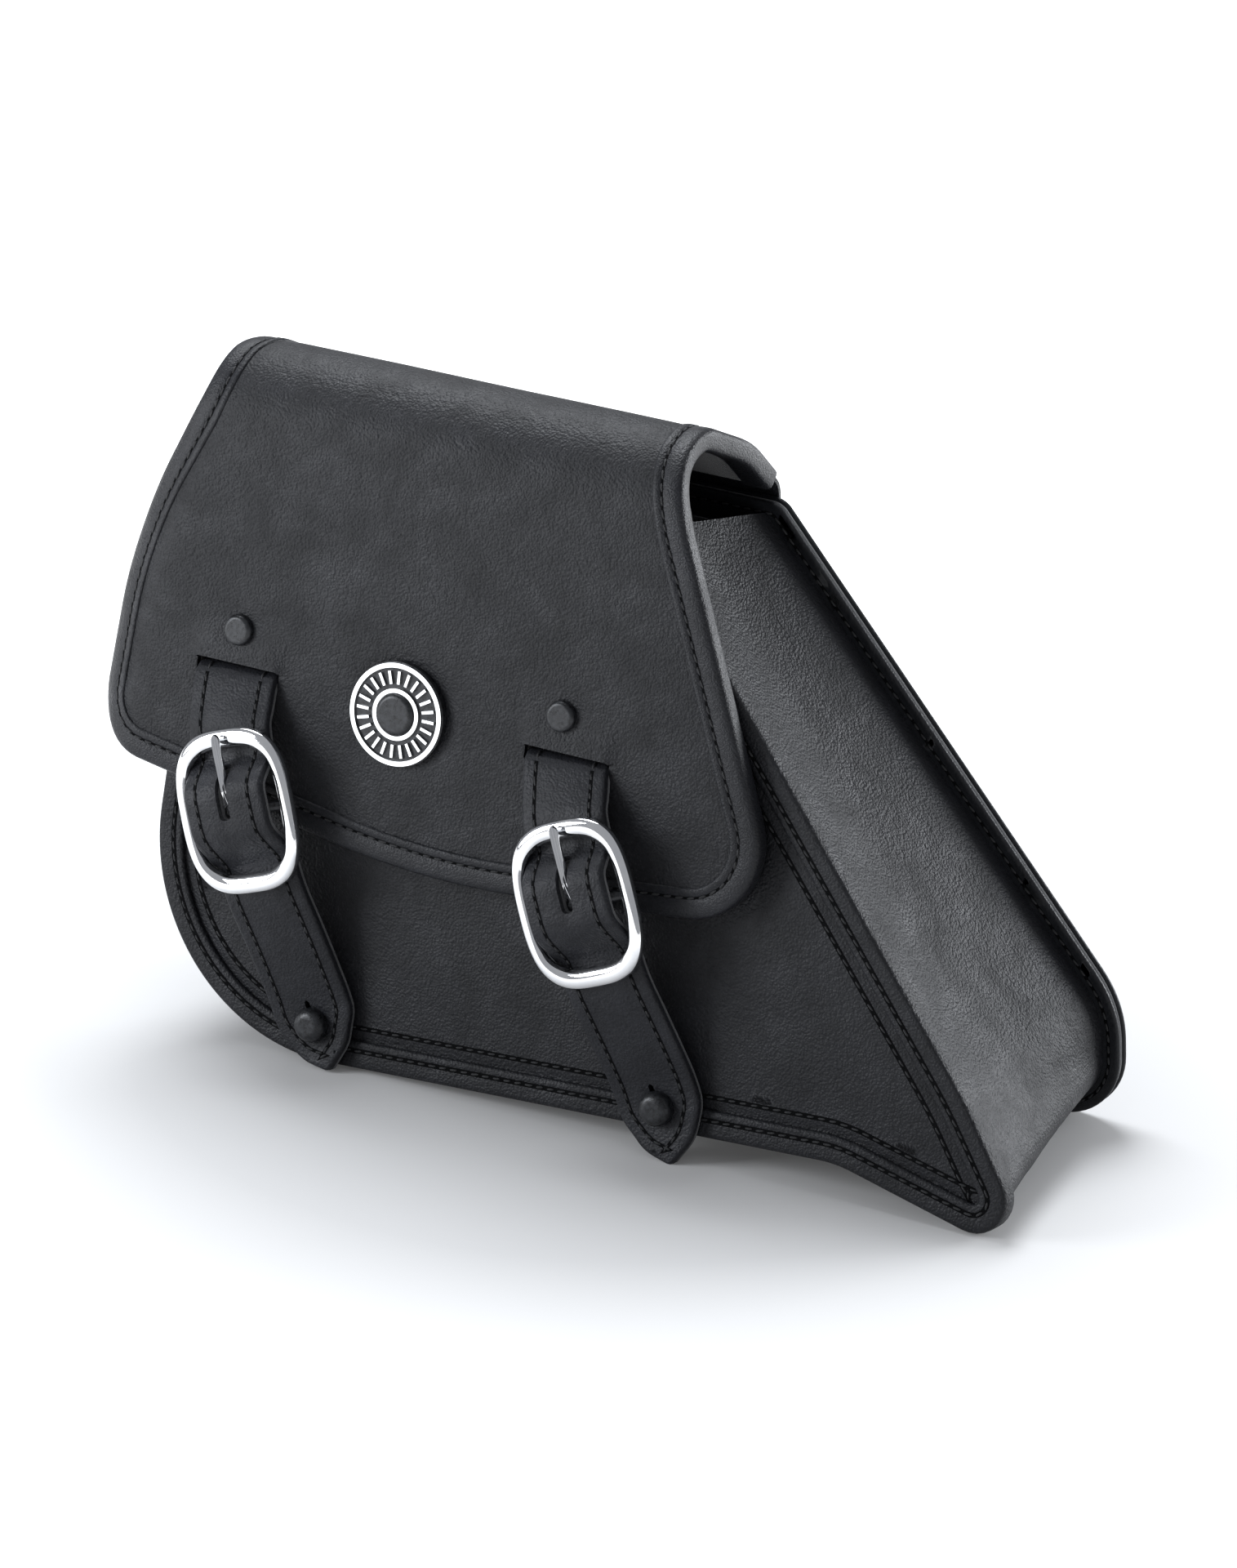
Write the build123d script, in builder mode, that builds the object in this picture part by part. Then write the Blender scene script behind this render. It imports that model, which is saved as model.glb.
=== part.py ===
from build123d import *
import os
from math import atan2, cos, hypot, radians, sin

# Leather swing-arm saddlebag, millimetres.
# +X runs along the bag towards its pointed end, +Y towards the motorcycle, +Z up.
# The origin is on the ground, in the middle of the bag's bounding box.

# ---- driving dimensions ------------------------------------------------------------------

panel_lean = 6.1            # both big panels lean in towards the top by this angle
front_foot_y = -49.65       # foot of the front face
back_foot_y = 70.85         # foot of the rear face
foot_lift = 0.8             # the tilted panels' inner corners touch the ground, not their faces
front_top = 212.0           # heights measured up the slope of each panel
back_top = 203.0

strap_width = 32.0
strap_face_thickness = 2.4
strap_back_thickness = 2.0
leather = 2.2               # outer leather
lining = 1.2
board = 2.0
trim = 1.2                  # edge binding

# ---- reference planes --------------------------------------------------------------------

lean_sin = sin(radians(panel_lean))
lean_cos = cos(radians(panel_lean))
front_plane = Plane(
    origin=(0, front_foot_y, foot_lift), x_dir=(1, 0, 0), z_dir=(0, -lean_cos, lean_sin)
)
back_plane = Plane(
    origin=(0, back_foot_y, foot_lift), x_dir=(1, 0, 0), z_dir=(0, -lean_cos, -lean_sin)
)


def front_at(depth):
    """The front plane moved into the bag by depth."""
    return front_plane.offset(-depth)


def back_at(depth):
    """The rear plane moved into the bag by depth."""
    return back_plane.offset(depth)


# ---- outlines ----------------------------------------------------------------------------
# An outline is a closed list of corners, counter-clockwise, with a rounding radius for each.
# A path is an open list of corners, with a radius for each corner between its two ends.


def shift_line(corners, radii, distance, closed):
    """Move every leg of a line to its left by distance and fit the rounding radii to it."""
    moved = []
    fitted = []
    count = len(corners)
    for i, here in enumerate(corners):
        legs = []
        if closed or i > 0:
            legs.append((here[0] - corners[i - 1][0], here[1] - corners[i - 1][1]))
        if closed or i < count - 1:
            after = corners[(i + 1) % count]
            legs.append((after[0] - here[0], after[1] - here[1]))
        normals = [(-dy / hypot(dx, dy), dx / hypot(dx, dy)) for dx, dy in legs]
        across = sum(n[0] for n in normals)
        along = sum(n[1] for n in normals)
        if len(legs) == 1:
            moved.append((here[0] + distance * across, here[1] + distance * along))
            continue
        spread = 1 + normals[0][0] * normals[1][0] + normals[0][1] * normals[1][1]
        moved.append((
            here[0] + distance * across / spread,
            here[1] + distance * along / spread,
        ))
        turns_left = legs[0][0] * legs[1][1] > legs[0][1] * legs[1][0]
        radius = radii[len(fitted)]
        change = -distance if turns_left else distance
        fitted.append(max(radius + change, 0.5) if radius else 0)
    return moved, fitted


def front_outline(inset=0.0, top=front_top):
    """Outline of the front panel, on a leaning panel plane."""
    left_taper = 0.04
    right_taper = 0.8425
    knee = (158.5, 43.5)
    corners = [
        (-157.7 + left_taper * top, top),
        (-161.8, -4.53),
        (114.5, 11.4),
        (193.0, -6.58),
        knee,
        (knee[0] - right_taper * (top - knee[1]), top),
    ]
    return shift_line(corners, [0, 72, 45, 12, 200, 0], inset, closed=True)


def back_outline(inset=0.0, top=back_top):
    """Outline of the rear panel: blunter at the pointed end than the front panel."""
    left_taper = 0.04
    right_taper = 0.84
    knee = (164.5, 45.0)
    corners = [
        (-157.7 + left_taper * top, top),
        (-161.8, -2.41),
        (100.0, 6.0),
        (166.8, -4.32),
        knee,
        (knee[0] - right_taper * (top - knee[1]), top),
    ]
    return shift_line(corners, [0, 66, 60, 24, 40, 0], inset, closed=True)


def draw(outline):
    """Draw a rounded outline as a face in the active sketch."""
    corners, radii = outline
    with BuildLine() as border:
        FilletPolyline(*corners, radius=radii, close=True)
    make_face(border.edges())


# ---- rear panel: skin, board, edge welt, facing and lining -------------------------------

back_stack = leather + board + leather
flange = 6.5                # the rear panel stands out this far beyond the gusset
welt_width = 5.0

bolt_spacing = 90.0
bolt_centre = (-60.0, 100.0)
bolt_hole_radius = 4.25
grommet_radius = 6.0
bolt_places = [
    (bolt_centre[0] + sx * bolt_spacing / 2, bolt_centre[1] + sy * bolt_spacing / 2)
    for sx in (-1, 1)
    for sy in (-1, 1)
]

hinge_rivet_radius = 2.0
hinge_rivet_places = [(x, back_top - 16) for x in (-132, -96, -60, -24, 12)]


def back_layer(depth, thickness, inset, bolt_holes=True, rivet_holes=True):
    """One flat layer of the rear panel with its bolt and rivet holes."""
    with BuildPart() as layer:
        with BuildSketch(back_at(depth)):
            draw(back_outline(inset))
            if bolt_holes:
                with Locations(*bolt_places):
                    Circle(grommet_radius, mode=Mode.SUBTRACT)
            if rivet_holes:
                with Locations(*hinge_rivet_places):
                    Circle(hinge_rivet_radius, mode=Mode.SUBTRACT)
        extrude(amount=thickness)
    return layer


back_skin = back_layer(0, leather, 0)
back_board = back_layer(leather, board, welt_width)
back_facing = back_layer(leather + board, leather, 0)

with BuildPart() as back_welt:
    with BuildSketch(back_at(leather)):
        draw(back_outline(0.6))
        with BuildSketch(mode=Mode.SUBTRACT):
            draw(back_outline(welt_width))
    extrude(amount=board)

gusset_thickness = 2.4
lining_inset_back = flange + gusset_thickness + lining + 0.6
back_liner = back_layer(back_stack, lining, lining_inset_back)

# ---- gusset: one strip down the short side, along the bottom and up the slanted side ------

border_wall = 2.2           # the front border's rim, outside the gusset
front_skin_depth = 1.5 + leather


def tub(inset, top_extra):
    """Loft between the front and rear outlines, as a closed block."""
    with BuildPart() as block:
        with BuildSketch(front_at(front_skin_depth)):
            draw(front_outline(border_wall + inset, front_top + top_extra))
        with BuildSketch(back_at(back_stack)):
            draw(back_outline(flange + inset, back_top + top_extra))
        loft(ruled=True)
    return block


mouth_clearance = 30.0
gusset_liner_depth = 8.6    # the gusset's lining starts behind the front panel's fastenings
outer_tub = tub(0, 0)
lining_tub = tub(gusset_thickness, mouth_clearance)
inner_tub = tub(gusset_thickness + lining, mouth_clearance)

with BuildPart() as gusset:
    add(outer_tub.part)
    add(lining_tub.part, mode=Mode.SUBTRACT)

with BuildPart() as gusset_liner:
    add(outer_tub.part)
    add(lining_tub.part, mode=Mode.INTERSECT)
    add(inner_tub.part, mode=Mode.SUBTRACT)
    with BuildSketch(front_at(gusset_liner_depth)):
        Rectangle(1000, 1000)
    extrude(amount=gusset_liner_depth, mode=Mode.SUBTRACT)

# ---- front panel: raised border, skin, board and lining -----------------------------------

border_width = 9.8
border_face = 1.5
border_depth = 7.5

slot_places = [(-126.5, 133.3), (3.2, 129.3)]
strap_leans = [19.0, 22.4]  # the straps lean towards the pointed end as they run down
stud_alongs = [126.0, 122.0]
stud_places = [
    (x + along * sin(radians(lean)), s - along * cos(radians(lean)))
    for (x, s), along, lean in zip(slot_places, stud_alongs, strap_leans)
]
stud_post_radius = 2.0
stud_base_radius = 4.0

with BuildPart() as front_border:
    with BuildSketch(front_at(border_depth)):
        draw(front_outline())
        with BuildSketch(mode=Mode.SUBTRACT):
            draw(front_outline(border_wall))
    extrude(amount=border_depth)
    with BuildSketch(front_at(border_face)):
        draw(front_outline())
        with BuildSketch(mode=Mode.SUBTRACT):
            draw(front_outline(border_width))
        with Locations(*stud_places):
            Circle(stud_base_radius + 0.2, mode=Mode.SUBTRACT)
    extrude(amount=border_face)

front_board_inset = 8.5


def front_layer(depth, thickness, inset):
    """One flat layer of the front panel with its two stud holes."""
    with BuildPart() as layer:
        with BuildSketch(front_at(depth + thickness)):
            draw(front_outline(inset))
            with Locations(*stud_places):
                Circle(stud_post_radius, mode=Mode.SUBTRACT)
        extrude(amount=thickness)
    return layer


front_panel = front_layer(border_face, leather, border_wall)
front_board = front_layer(front_skin_depth, board, front_board_inset)
front_liner = front_layer(front_skin_depth + board, lining, front_board_inset)

# ---- studs on the front panel -------------------------------------------------------------

stud_base = 1.2
stud_neck_top = 6.6         # above the front skin
stud_head_radius = 6.0
stud_head_height = 4.6
front_stack = leather + board + lining
washer_radius = 3.1
washer_thickness = 1.2

with BuildPart() as studs:
    for place in stud_places:
        with BuildSketch(front_at(border_face + front_stack)):
            with Locations(place):
                Circle(stud_post_radius)
        extrude(amount=front_stack + stud_neck_top)
        with BuildSketch(front_at(border_face)):
            with Locations(place):
                Circle(stud_base_radius)
        extrude(amount=stud_base)
        with BuildSketch(front_at(border_face - stud_neck_top)):
            with Locations(place):
                Circle(stud_head_radius)
        extrude(amount=stud_head_height)
    stud_rims = studs.edges().filter_by(GeomType.CIRCLE)
    head_rims = stud_rims.filter_by(lambda rim: abs(rim.radius - stud_head_radius) < 0.01)
    outward = Axis(front_plane.origin, front_plane.z_dir)
    fillet(head_rims.group_by(outward)[-1], radius=3.2)

with BuildPart() as stud_washers:
    with BuildSketch(front_at(border_face + front_stack + washer_thickness)):
        with Locations(*stud_places):
            Circle(washer_radius)
    extrude(amount=washer_thickness)
    chamfer(stud_washers.faces().group_by(outward)[0].edges(), length=0.4)

# ---- flap ---------------------------------------------------------------------------------
# The flap is a sheet bent about X. Its side profile runs down from the hinge over a sloping
# roof, round the crest and down the front; its outline is cut in the front view.

flap_gap = 8.1              # the flap's face stands this far in front of the front border
flap_stack = leather + board + lining
crest_s = 250.2
crest_radius = 24.0
roof_knuckle = (24.5, 227.3)  # (y, z), where the roof steepens towards the hinge
roof_radius = 60.0
flap_bottom_s = 60.0
roof_left, roof_right = -146.8, 31.0
hinge_s = 206.6
hinge_depth = 1.9


def on_flap_plane(s):
    """(y, z) of a point s up the slope of the flap's front face."""
    return (
        front_foot_y + s * lean_sin - flap_gap * lean_cos,
        foot_lift + s * lean_cos + flap_gap * lean_sin,
    )


hinge_axis = (
    back_foot_y - hinge_s * lean_sin - hinge_depth * lean_cos,
    foot_lift + hinge_s * lean_cos - hinge_depth * lean_sin,
)


def flap_profile(depth):
    """Side profile of the flap at a depth below its outer face, from front to hinge."""
    half = flap_stack / 2
    fall = atan2(roof_knuckle[1] - hinge_axis[1], hinge_axis[0] - roof_knuckle[0])
    hinge_end = (hinge_axis[0] + half * sin(fall), hinge_axis[1] + half * cos(fall))
    corners = [on_flap_plane(flap_bottom_s), on_flap_plane(crest_s), roof_knuckle, hinge_end]
    return shift_line(corners, [crest_radius, roof_radius], -depth, closed=False)


def flap_block(outer_depth, inner_depth, half_length=260):
    """The flap's bent sheet between two depths, far wider than the flap."""
    outer_corners, outer_radii = flap_profile(outer_depth)
    inner_corners, inner_radii = flap_profile(inner_depth)
    with BuildPart() as block:
        with BuildSketch(Plane.YZ):
            with BuildLine():
                outer = FilletPolyline(*outer_corners, radius=outer_radii)
                inner = FilletPolyline(*inner_corners, radius=inner_radii)
                Line(outer @ 0, inner @ 0)
                Line(outer @ 1, inner @ 1)
            make_face()
        extrude(amount=half_length, both=True)
    return block


def flap_outline(inset=0.0):
    """Outline of the flap in the front view, (x, z), counter-clockwise."""
    corners = [
        (-146.8, 270.0),
        (-148.0, 229.0),
        (-173.4, 173.0),
        (-182.4, 97.0),
        (-45.0, 75.0),
        (89.8, 88.5),
        (38.0, 214.0),
        (31.0, 240.0),
        (31.0, 270.0),
    ]
    return shift_line(corners, [0, 60, 160, 22, 300, 27, 60, 60, 0], inset, closed=True)


def flap_prism(inset):
    """Front-view outline of the flap as a block along Y, squared off over the roof."""
    with BuildPart() as block:
        with BuildSketch(Plane.XZ):
            draw(flap_outline(inset))
        extrude(amount=120, both=True)
        with BuildSketch(Plane.XY):
            with Locations((0, 50)):
                Rectangle(600, 140)
            with Locations(((roof_left + roof_right) / 2, 50)):
                Rectangle(roof_right - roof_left - 2 * inset, 150, mode=Mode.SUBTRACT)
        extrude(amount=300, mode=Mode.SUBTRACT)
    return block


slot_length = 36.0
slot_below = 4.4
slot_above = 3.4
strap_pivot = 0.5           # the strap turns about an axis this far outside the flap's face
cap_rivet_shank = 2.2
cap_rivet_rise = 12.9       # from the slot to the rivet above it
badge_place = (-61.9, 130.1)
badge_post_radius = 2.0

flap_face = front_plane.offset(flap_gap)
slot_planes = [
    Plane(
        origin=flap_face.from_local_coords((x, s, 0)),
        x_dir=front_plane.x_dir * cos(radians(lean)) + front_plane.y_dir * sin(radians(lean)),
        z_dir=flap_face.z_dir,
    )
    for (x, s), lean in zip(slot_places, strap_leans)
]
cap_rivet_places = [
    (slot_places[0][0] - 0.6, slot_places[0][1] + cap_rivet_rise - 0.4),
    (slot_places[1][0] - 3.3, slot_places[1][1] + cap_rivet_rise),
]


def flap_layer(depth, thickness, inset):
    """One layer of the flap with its slots, rivet holes and badge hole."""
    sheet = flap_block(depth, depth + thickness)
    prism = flap_prism(inset)
    with BuildPart() as layer:
        add(sheet.part)
        add(prism.part, mode=Mode.INTERSECT)
        for plane in slot_planes:
            with BuildSketch(plane.offset(5)):
                with Locations((0, (slot_above - slot_below) / 2)):
                    Rectangle(slot_length, slot_above + slot_below)
            extrude(amount=-16, mode=Mode.SUBTRACT)
        with BuildSketch(flap_face.offset(5)):
            with Locations(*cap_rivet_places):
                Circle(cap_rivet_shank)
            with Locations(badge_place):
                Circle(badge_post_radius)
        extrude(amount=-16, mode=Mode.SUBTRACT)
    return layer


flap_skin = flap_layer(0, leather, trim)
flap_board = flap_layer(leather, board, trim + 2)
flap_liner = flap_layer(leather + board, lining, trim)

binding_width = 10.8
binding_relief = 6.0        # the binding stops this far from the hinge axis

binding_sheet = flap_block(-trim, flap_stack + trim)
core_sheet = flap_block(0, flap_stack)
binding_prism = flap_prism(0)
core_prism = flap_prism(trim)
window_prism = flap_prism(binding_width)

with BuildPart() as bound_edge:
    add(core_sheet.part)
    add(core_prism.part, mode=Mode.INTERSECT)

with BuildPart() as flap_binding:
    add(binding_sheet.part)
    add(binding_prism.part, mode=Mode.INTERSECT)
    add(window_prism.part, mode=Mode.SUBTRACT)
    add(bound_edge.part, mode=Mode.SUBTRACT)
    with BuildSketch(Plane.YZ):
        with Locations(hinge_axis):
            Circle(binding_relief)
    extrude(amount=260, both=True, mode=Mode.SUBTRACT)

# ---- what the flap carries: rivets, strap tabs and the badge --------------------------------

tab_thickness = 2.0
tab_width = 30.0
tab_length = 22.0
cap_radius = 5.4
cap_height = 2.4
burr_radius = 4.5
burr_thickness = 0.8

with BuildPart() as strap_tabs:
    for plane in slot_planes:
        with BuildSketch(plane.offset(-flap_stack)):
            with Locations((0, slot_above + 0.2 + tab_length / 2)):
                RectangleRounded(tab_width, tab_length, 4)
        extrude(amount=-tab_thickness)
    with BuildSketch(flap_face):
        with Locations(*cap_rivet_places):
            Circle(cap_rivet_shank)
    extrude(amount=-20, mode=Mode.SUBTRACT)

rivet_grip = flap_stack + tab_thickness

with BuildPart() as cap_rivets:
    for place in cap_rivet_places:
        with BuildSketch(flap_face.offset(-rivet_grip - burr_thickness)):
            with Locations(place):
                Circle(cap_rivet_shank)
        extrude(amount=rivet_grip + burr_thickness)
        with BuildSketch(flap_face):
            with Locations(place):
                Circle(cap_radius)
        extrude(amount=cap_height)
    rivet_rims = cap_rivets.edges().filter_by(GeomType.CIRCLE)
    cap_rims = rivet_rims.filter_by(lambda rim: abs(rim.radius - cap_radius) < 0.01)
    fillet(cap_rims.group_by(Axis(flap_face.origin, flap_face.z_dir))[-1], radius=1.6)

with BuildPart() as rivet_burrs:
    with BuildSketch(flap_face.offset(-rivet_grip - burr_thickness)):
        with Locations(*cap_rivet_places):
            Circle(burr_radius)
            Circle(cap_rivet_shank, mode=Mode.SUBTRACT)
    extrude(amount=burr_thickness)

badge_radius = 18.1
badge_thickness = 2.0
badge_rim = 1.6
badge_trim_height = 0.9
badge_dome_radius = 7.5
tick_count = 24
tick_inner = 10.5
tick_outer = 15.0
tick_width = 1.0
badge_face = flap_face.offset(badge_thickness)
badge_centre = Plane(
    origin=badge_face.from_local_coords((*badge_place, 0)), x_dir=(1, 0, 0), z_dir=flap_face.z_dir
)

with BuildPart() as badge_base:
    with BuildSketch(badge_centre):
        Circle(badge_radius)
    extrude(amount=-badge_thickness)
    with BuildSketch(badge_centre.offset(-badge_thickness)):
        Circle(badge_post_radius)
    extrude(amount=-flap_stack - 2.6)

with BuildPart() as badge_trim:
    with BuildSketch(badge_centre):
        Circle(badge_radius - 0.4)
        Circle(badge_radius - 0.4 - badge_rim, mode=Mode.SUBTRACT)
        Circle(badge_dome_radius + 1.4)
        Circle(badge_dome_radius, mode=Mode.SUBTRACT)
        with PolarLocations((tick_inner + tick_outer) / 2, tick_count):
            Rectangle(tick_outer - tick_inner, tick_width)
    extrude(amount=badge_trim_height)

with BuildPart() as badge_dome:
    with BuildSketch(badge_centre):
        Circle(badge_dome_radius)
    extrude(amount=2.2)
    dome_rims = badge_dome.edges().filter_by(GeomType.CIRCLE)
    fillet(dome_rims.group_by(Axis(badge_centre.origin, badge_centre.z_dir))[-1], radius=2.0)

nut_flats = 7.0
nut_thickness = 2.4

with BuildPart() as badge_nut:
    with BuildSketch(badge_centre.offset(-badge_thickness - flap_stack)):
        RegularPolygon(nut_flats / 2, 6, major_radius=False)
        Circle(badge_post_radius, mode=Mode.SUBTRACT)
    extrude(amount=-nut_thickness)

# ---- straps, buckles and prongs ---------------------------------------------------------------
# Each is drawn once in the strap's own frame, with X across the strap, Y up it and Z away
# from the flap, and then set at both slots. "Along" is the distance down from the slot.

buckle_along = 48.0
buckle_level = 14.0         # middle of the buckle above the flap's face
buckle_width = 45.0
buckle_length = 57.0
buckle_corner = 18.0
buckle_bar = 5.5
buckle_thickness = 5.0
centre_bar_radius = 1.75
prong_eye_gap = 0.05
prong_eye_radius = 2.9
prong_width = 3.6
prong_eye_width = 5.0
prong_tip_along = 18.5
prong_bend_along = 28.0
prong_rest_gap = 0.3
strap_end_along = 140.5
strap_point = 17.0
stud_hole_radius = 6.7
prong_slot = (30.5, 50.0)
prong_slot_width = 5.6

strap_thickness = strap_face_thickness + strap_back_thickness
side_plane = Plane(origin=(0, 0, 0), x_dir=(0, -1, 0), z_dir=(-1, 0, 0))
under_bar = buckle_level - buckle_thickness / 2 - 0.5 - strap_thickness / 2
over_bar = buckle_level + prong_eye_radius + 0.3 + strap_thickness / 2
on_panel = -flap_gap + 0.5 + strap_thickness / 2

strap_route = [
    (0, strap_pivot),
    (12.6, under_bar),
    (34.6, under_bar),
    (buckle_along - 4.6, over_bar),
    (buckle_along + 4.6, over_bar),
    (61.2, under_bar),
    (77.5, under_bar),
    (118.0, on_panel),
    (strap_end_along, on_panel),
]
strap_bends = [10, 7, 6, 6, 7, 30, 60]


def strap_layer(lower, upper, stud_along):
    """The strap's layer between two heights from its mid-surface, with its holes."""
    low_corners, low_radii = shift_line(strap_route, strap_bends, lower, closed=False)
    high_corners, high_radii = shift_line(strap_route, strap_bends, upper, closed=False)
    with BuildPart() as layer:
        with BuildSketch(side_plane):
            with BuildLine():
                low = FilletPolyline(*low_corners, radius=low_radii)
                high = FilletPolyline(*high_corners, radius=high_radii)
                Line(low @ 0, high @ 0)
                Line(low @ 1, high @ 1)
            make_face()
        extrude(amount=strap_width / 2, both=True)
        with BuildSketch(Plane.XY.offset(-40)):
            half = strap_width / 2
            shoulder = strap_point - strap_end_along
            point_right = (half * 0.6, shoulder - strap_point * 0.55)
            point_left = (-half * 0.6, shoulder - strap_point * 0.55)
            with BuildLine():
                Polyline((-half, shoulder), (-half, 20), (half, 20), (half, shoulder))
                ThreePointArc((half, shoulder), point_right, (0, -strap_end_along))
                ThreePointArc((0, -strap_end_along), point_left, (-half, shoulder))
            make_face()
            with Locations((0, -stud_along)):
                Circle(stud_hole_radius, mode=Mode.SUBTRACT)
            with Locations((0, -sum(prong_slot) / 2)):
                SlotOverall(
                    prong_slot[1] - prong_slot[0], prong_slot_width, rotation=90, mode=Mode.SUBTRACT
                )
        extrude(amount=80, mode=Mode.INTERSECT)
    return layer


face_middle = strap_thickness / 2 - strap_face_thickness
strap_faces = [strap_layer(face_middle, strap_thickness / 2, along) for along in stud_alongs]
strap_backs = [strap_layer(-strap_thickness / 2, face_middle, along) for along in stud_alongs]

with BuildPart() as buckle_master:
    with BuildSketch(Plane.XY.offset(buckle_level - buckle_thickness / 2)):
        with Locations((0, -buckle_along)):
            RectangleRounded(buckle_width, buckle_length, buckle_corner)
            RectangleRounded(
                buckle_width - 2 * buckle_bar,
                buckle_length - 2 * buckle_bar,
                buckle_corner - buckle_bar,
                mode=Mode.SUBTRACT,
            )
    extrude(amount=buckle_thickness)
    fillet(buckle_master.edges().filter_by(Plane.XY), radius=1.9)
    with BuildSketch(Plane.YZ):
        with Locations((-buckle_along, buckle_level)):
            Circle(centre_bar_radius)
    extrude(amount=buckle_width / 2 - buckle_bar / 2, both=True)

prong_top = buckle_level + buckle_thickness / 2 + prong_rest_gap
prong_thickness = 2.3

with BuildPart() as prong_master:
    with BuildSketch(side_plane):
        with Locations((buckle_along, buckle_level)):
            Circle(prong_eye_radius)
    extrude(amount=prong_eye_width / 2, both=True)
    with BuildSketch(side_plane):
        with BuildLine():
            Polyline(
                (buckle_along - 0.4, buckle_level + 1.0),
                (buckle_along - 0.4, buckle_level + prong_eye_radius),
                (prong_tip_along, prong_top + prong_thickness),
                (prong_tip_along, prong_top),
                (prong_bend_along, prong_top),
                (buckle_along - 0.4, buckle_level + 1.0),
            )
        make_face()
    extrude(amount=prong_width / 2, both=True)
    tip_edges = prong_master.edges().group_by(Axis.Y)[-1]
    fillet(tip_edges.filter_by(Axis.Z), radius=1.5)
    with BuildSketch(side_plane):
        with Locations((buckle_along, buckle_level)):
            Circle(centre_bar_radius + prong_eye_gap)
    extrude(amount=prong_eye_width, both=True, mode=Mode.SUBTRACT)


def set_at_slot(master, plane):
    """A strap piece moved from the strap's own frame to one of the flap's slots."""
    with BuildPart() as placed:
        with Locations(plane.location):
            add(master.part)
    return placed


left_slot, right_slot = slot_planes
strap_left = set_at_slot(strap_faces[0], left_slot)
strap_right = set_at_slot(strap_faces[1], right_slot)
strap_backing_left = set_at_slot(strap_backs[0], left_slot)
strap_backing_right = set_at_slot(strap_backs[1], right_slot)
buckle_left = set_at_slot(buckle_master, left_slot)
buckle_right = set_at_slot(buckle_master, right_slot)
prong_left = set_at_slot(prong_master, left_slot)
prong_right = set_at_slot(prong_master, right_slot)

# ---- hinge strip and its rivets ----------------------------------------------------------------

hinge_strip_thickness = 2.2
hinge_strip_drop = 26.0
hinge_strip_top = back_top + 0.4
hinge_left, hinge_right = -143.5, 28.5
rivet_head_radius = 4.6
rivet_head_height = 1.6

with BuildPart() as hinge_strip:
    with BuildSketch(back_at(-hinge_strip_thickness)):
        with Locations(
            ((hinge_left + hinge_right) / 2, hinge_strip_top - hinge_strip_drop / 2)
        ):
            RectangleRounded(hinge_right - hinge_left, hinge_strip_drop, 1.0)
        with Locations(*hinge_rivet_places):
            Circle(hinge_rivet_radius, mode=Mode.SUBTRACT)
    extrude(amount=hinge_strip_thickness)

with BuildPart() as hinge_rivets:
    for place in hinge_rivet_places:
        with BuildSketch(back_at(-hinge_strip_thickness)):
            with Locations(place):
                Circle(hinge_rivet_radius)
        extrude(amount=hinge_strip_thickness + back_stack + lining)
        with BuildSketch(back_at(-hinge_strip_thickness)):
            with Locations(place):
                Circle(rivet_head_radius)
        extrude(amount=-rivet_head_height)
        with BuildSketch(back_at(back_stack + lining)):
            with Locations(place):
                Circle(rivet_head_radius)
        extrude(amount=burr_thickness)
    hinge_rims = hinge_rivets.edges().filter_by(GeomType.CIRCLE)
    head_circles = hinge_rims.filter_by(lambda rim: abs(rim.radius - rivet_head_radius) < 0.01)
    fillet(head_circles.group_by(Axis(back_plane.origin, back_plane.z_dir))[0], radius=1.2)

# ---- mounting: grommets in the rear panel, steel load plates inside -----------------------------

load_plate_thickness = 1.5
load_plate_width = 24.0
grommet_flange_radius = 9.0
grommet_flange = 1.0
grommet_grip = back_stack + lining + load_plate_thickness

with BuildPart() as load_plates:
    with BuildSketch(back_at(back_stack + lining)):
        for side in (-1, 1):
            with Locations((bolt_centre[0], bolt_centre[1] + side * bolt_spacing / 2)):
                RectangleRounded(bolt_spacing + 36, load_plate_width, 6)
        with Locations(*bolt_places):
            Circle(grommet_radius, mode=Mode.SUBTRACT)
    extrude(amount=load_plate_thickness)

with BuildPart() as grommets:
    with BuildSketch(back_at(0)):
        with Locations(*bolt_places):
            Circle(grommet_radius)
    extrude(amount=grommet_grip)
    for depth in (-grommet_flange, grommet_grip):
        with BuildSketch(back_at(depth)):
            with Locations(*bolt_places):
                Circle(grommet_flange_radius)
        extrude(amount=grommet_flange)
    with BuildSketch(back_at(-2 * grommet_flange)):
        with Locations(*bolt_places):
            Circle(bolt_hole_radius)
    extrude(amount=grommet_grip + 4 * grommet_flange, mode=Mode.SUBTRACT)

# ---- writing -------------------------------------------------------------------------------------

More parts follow.
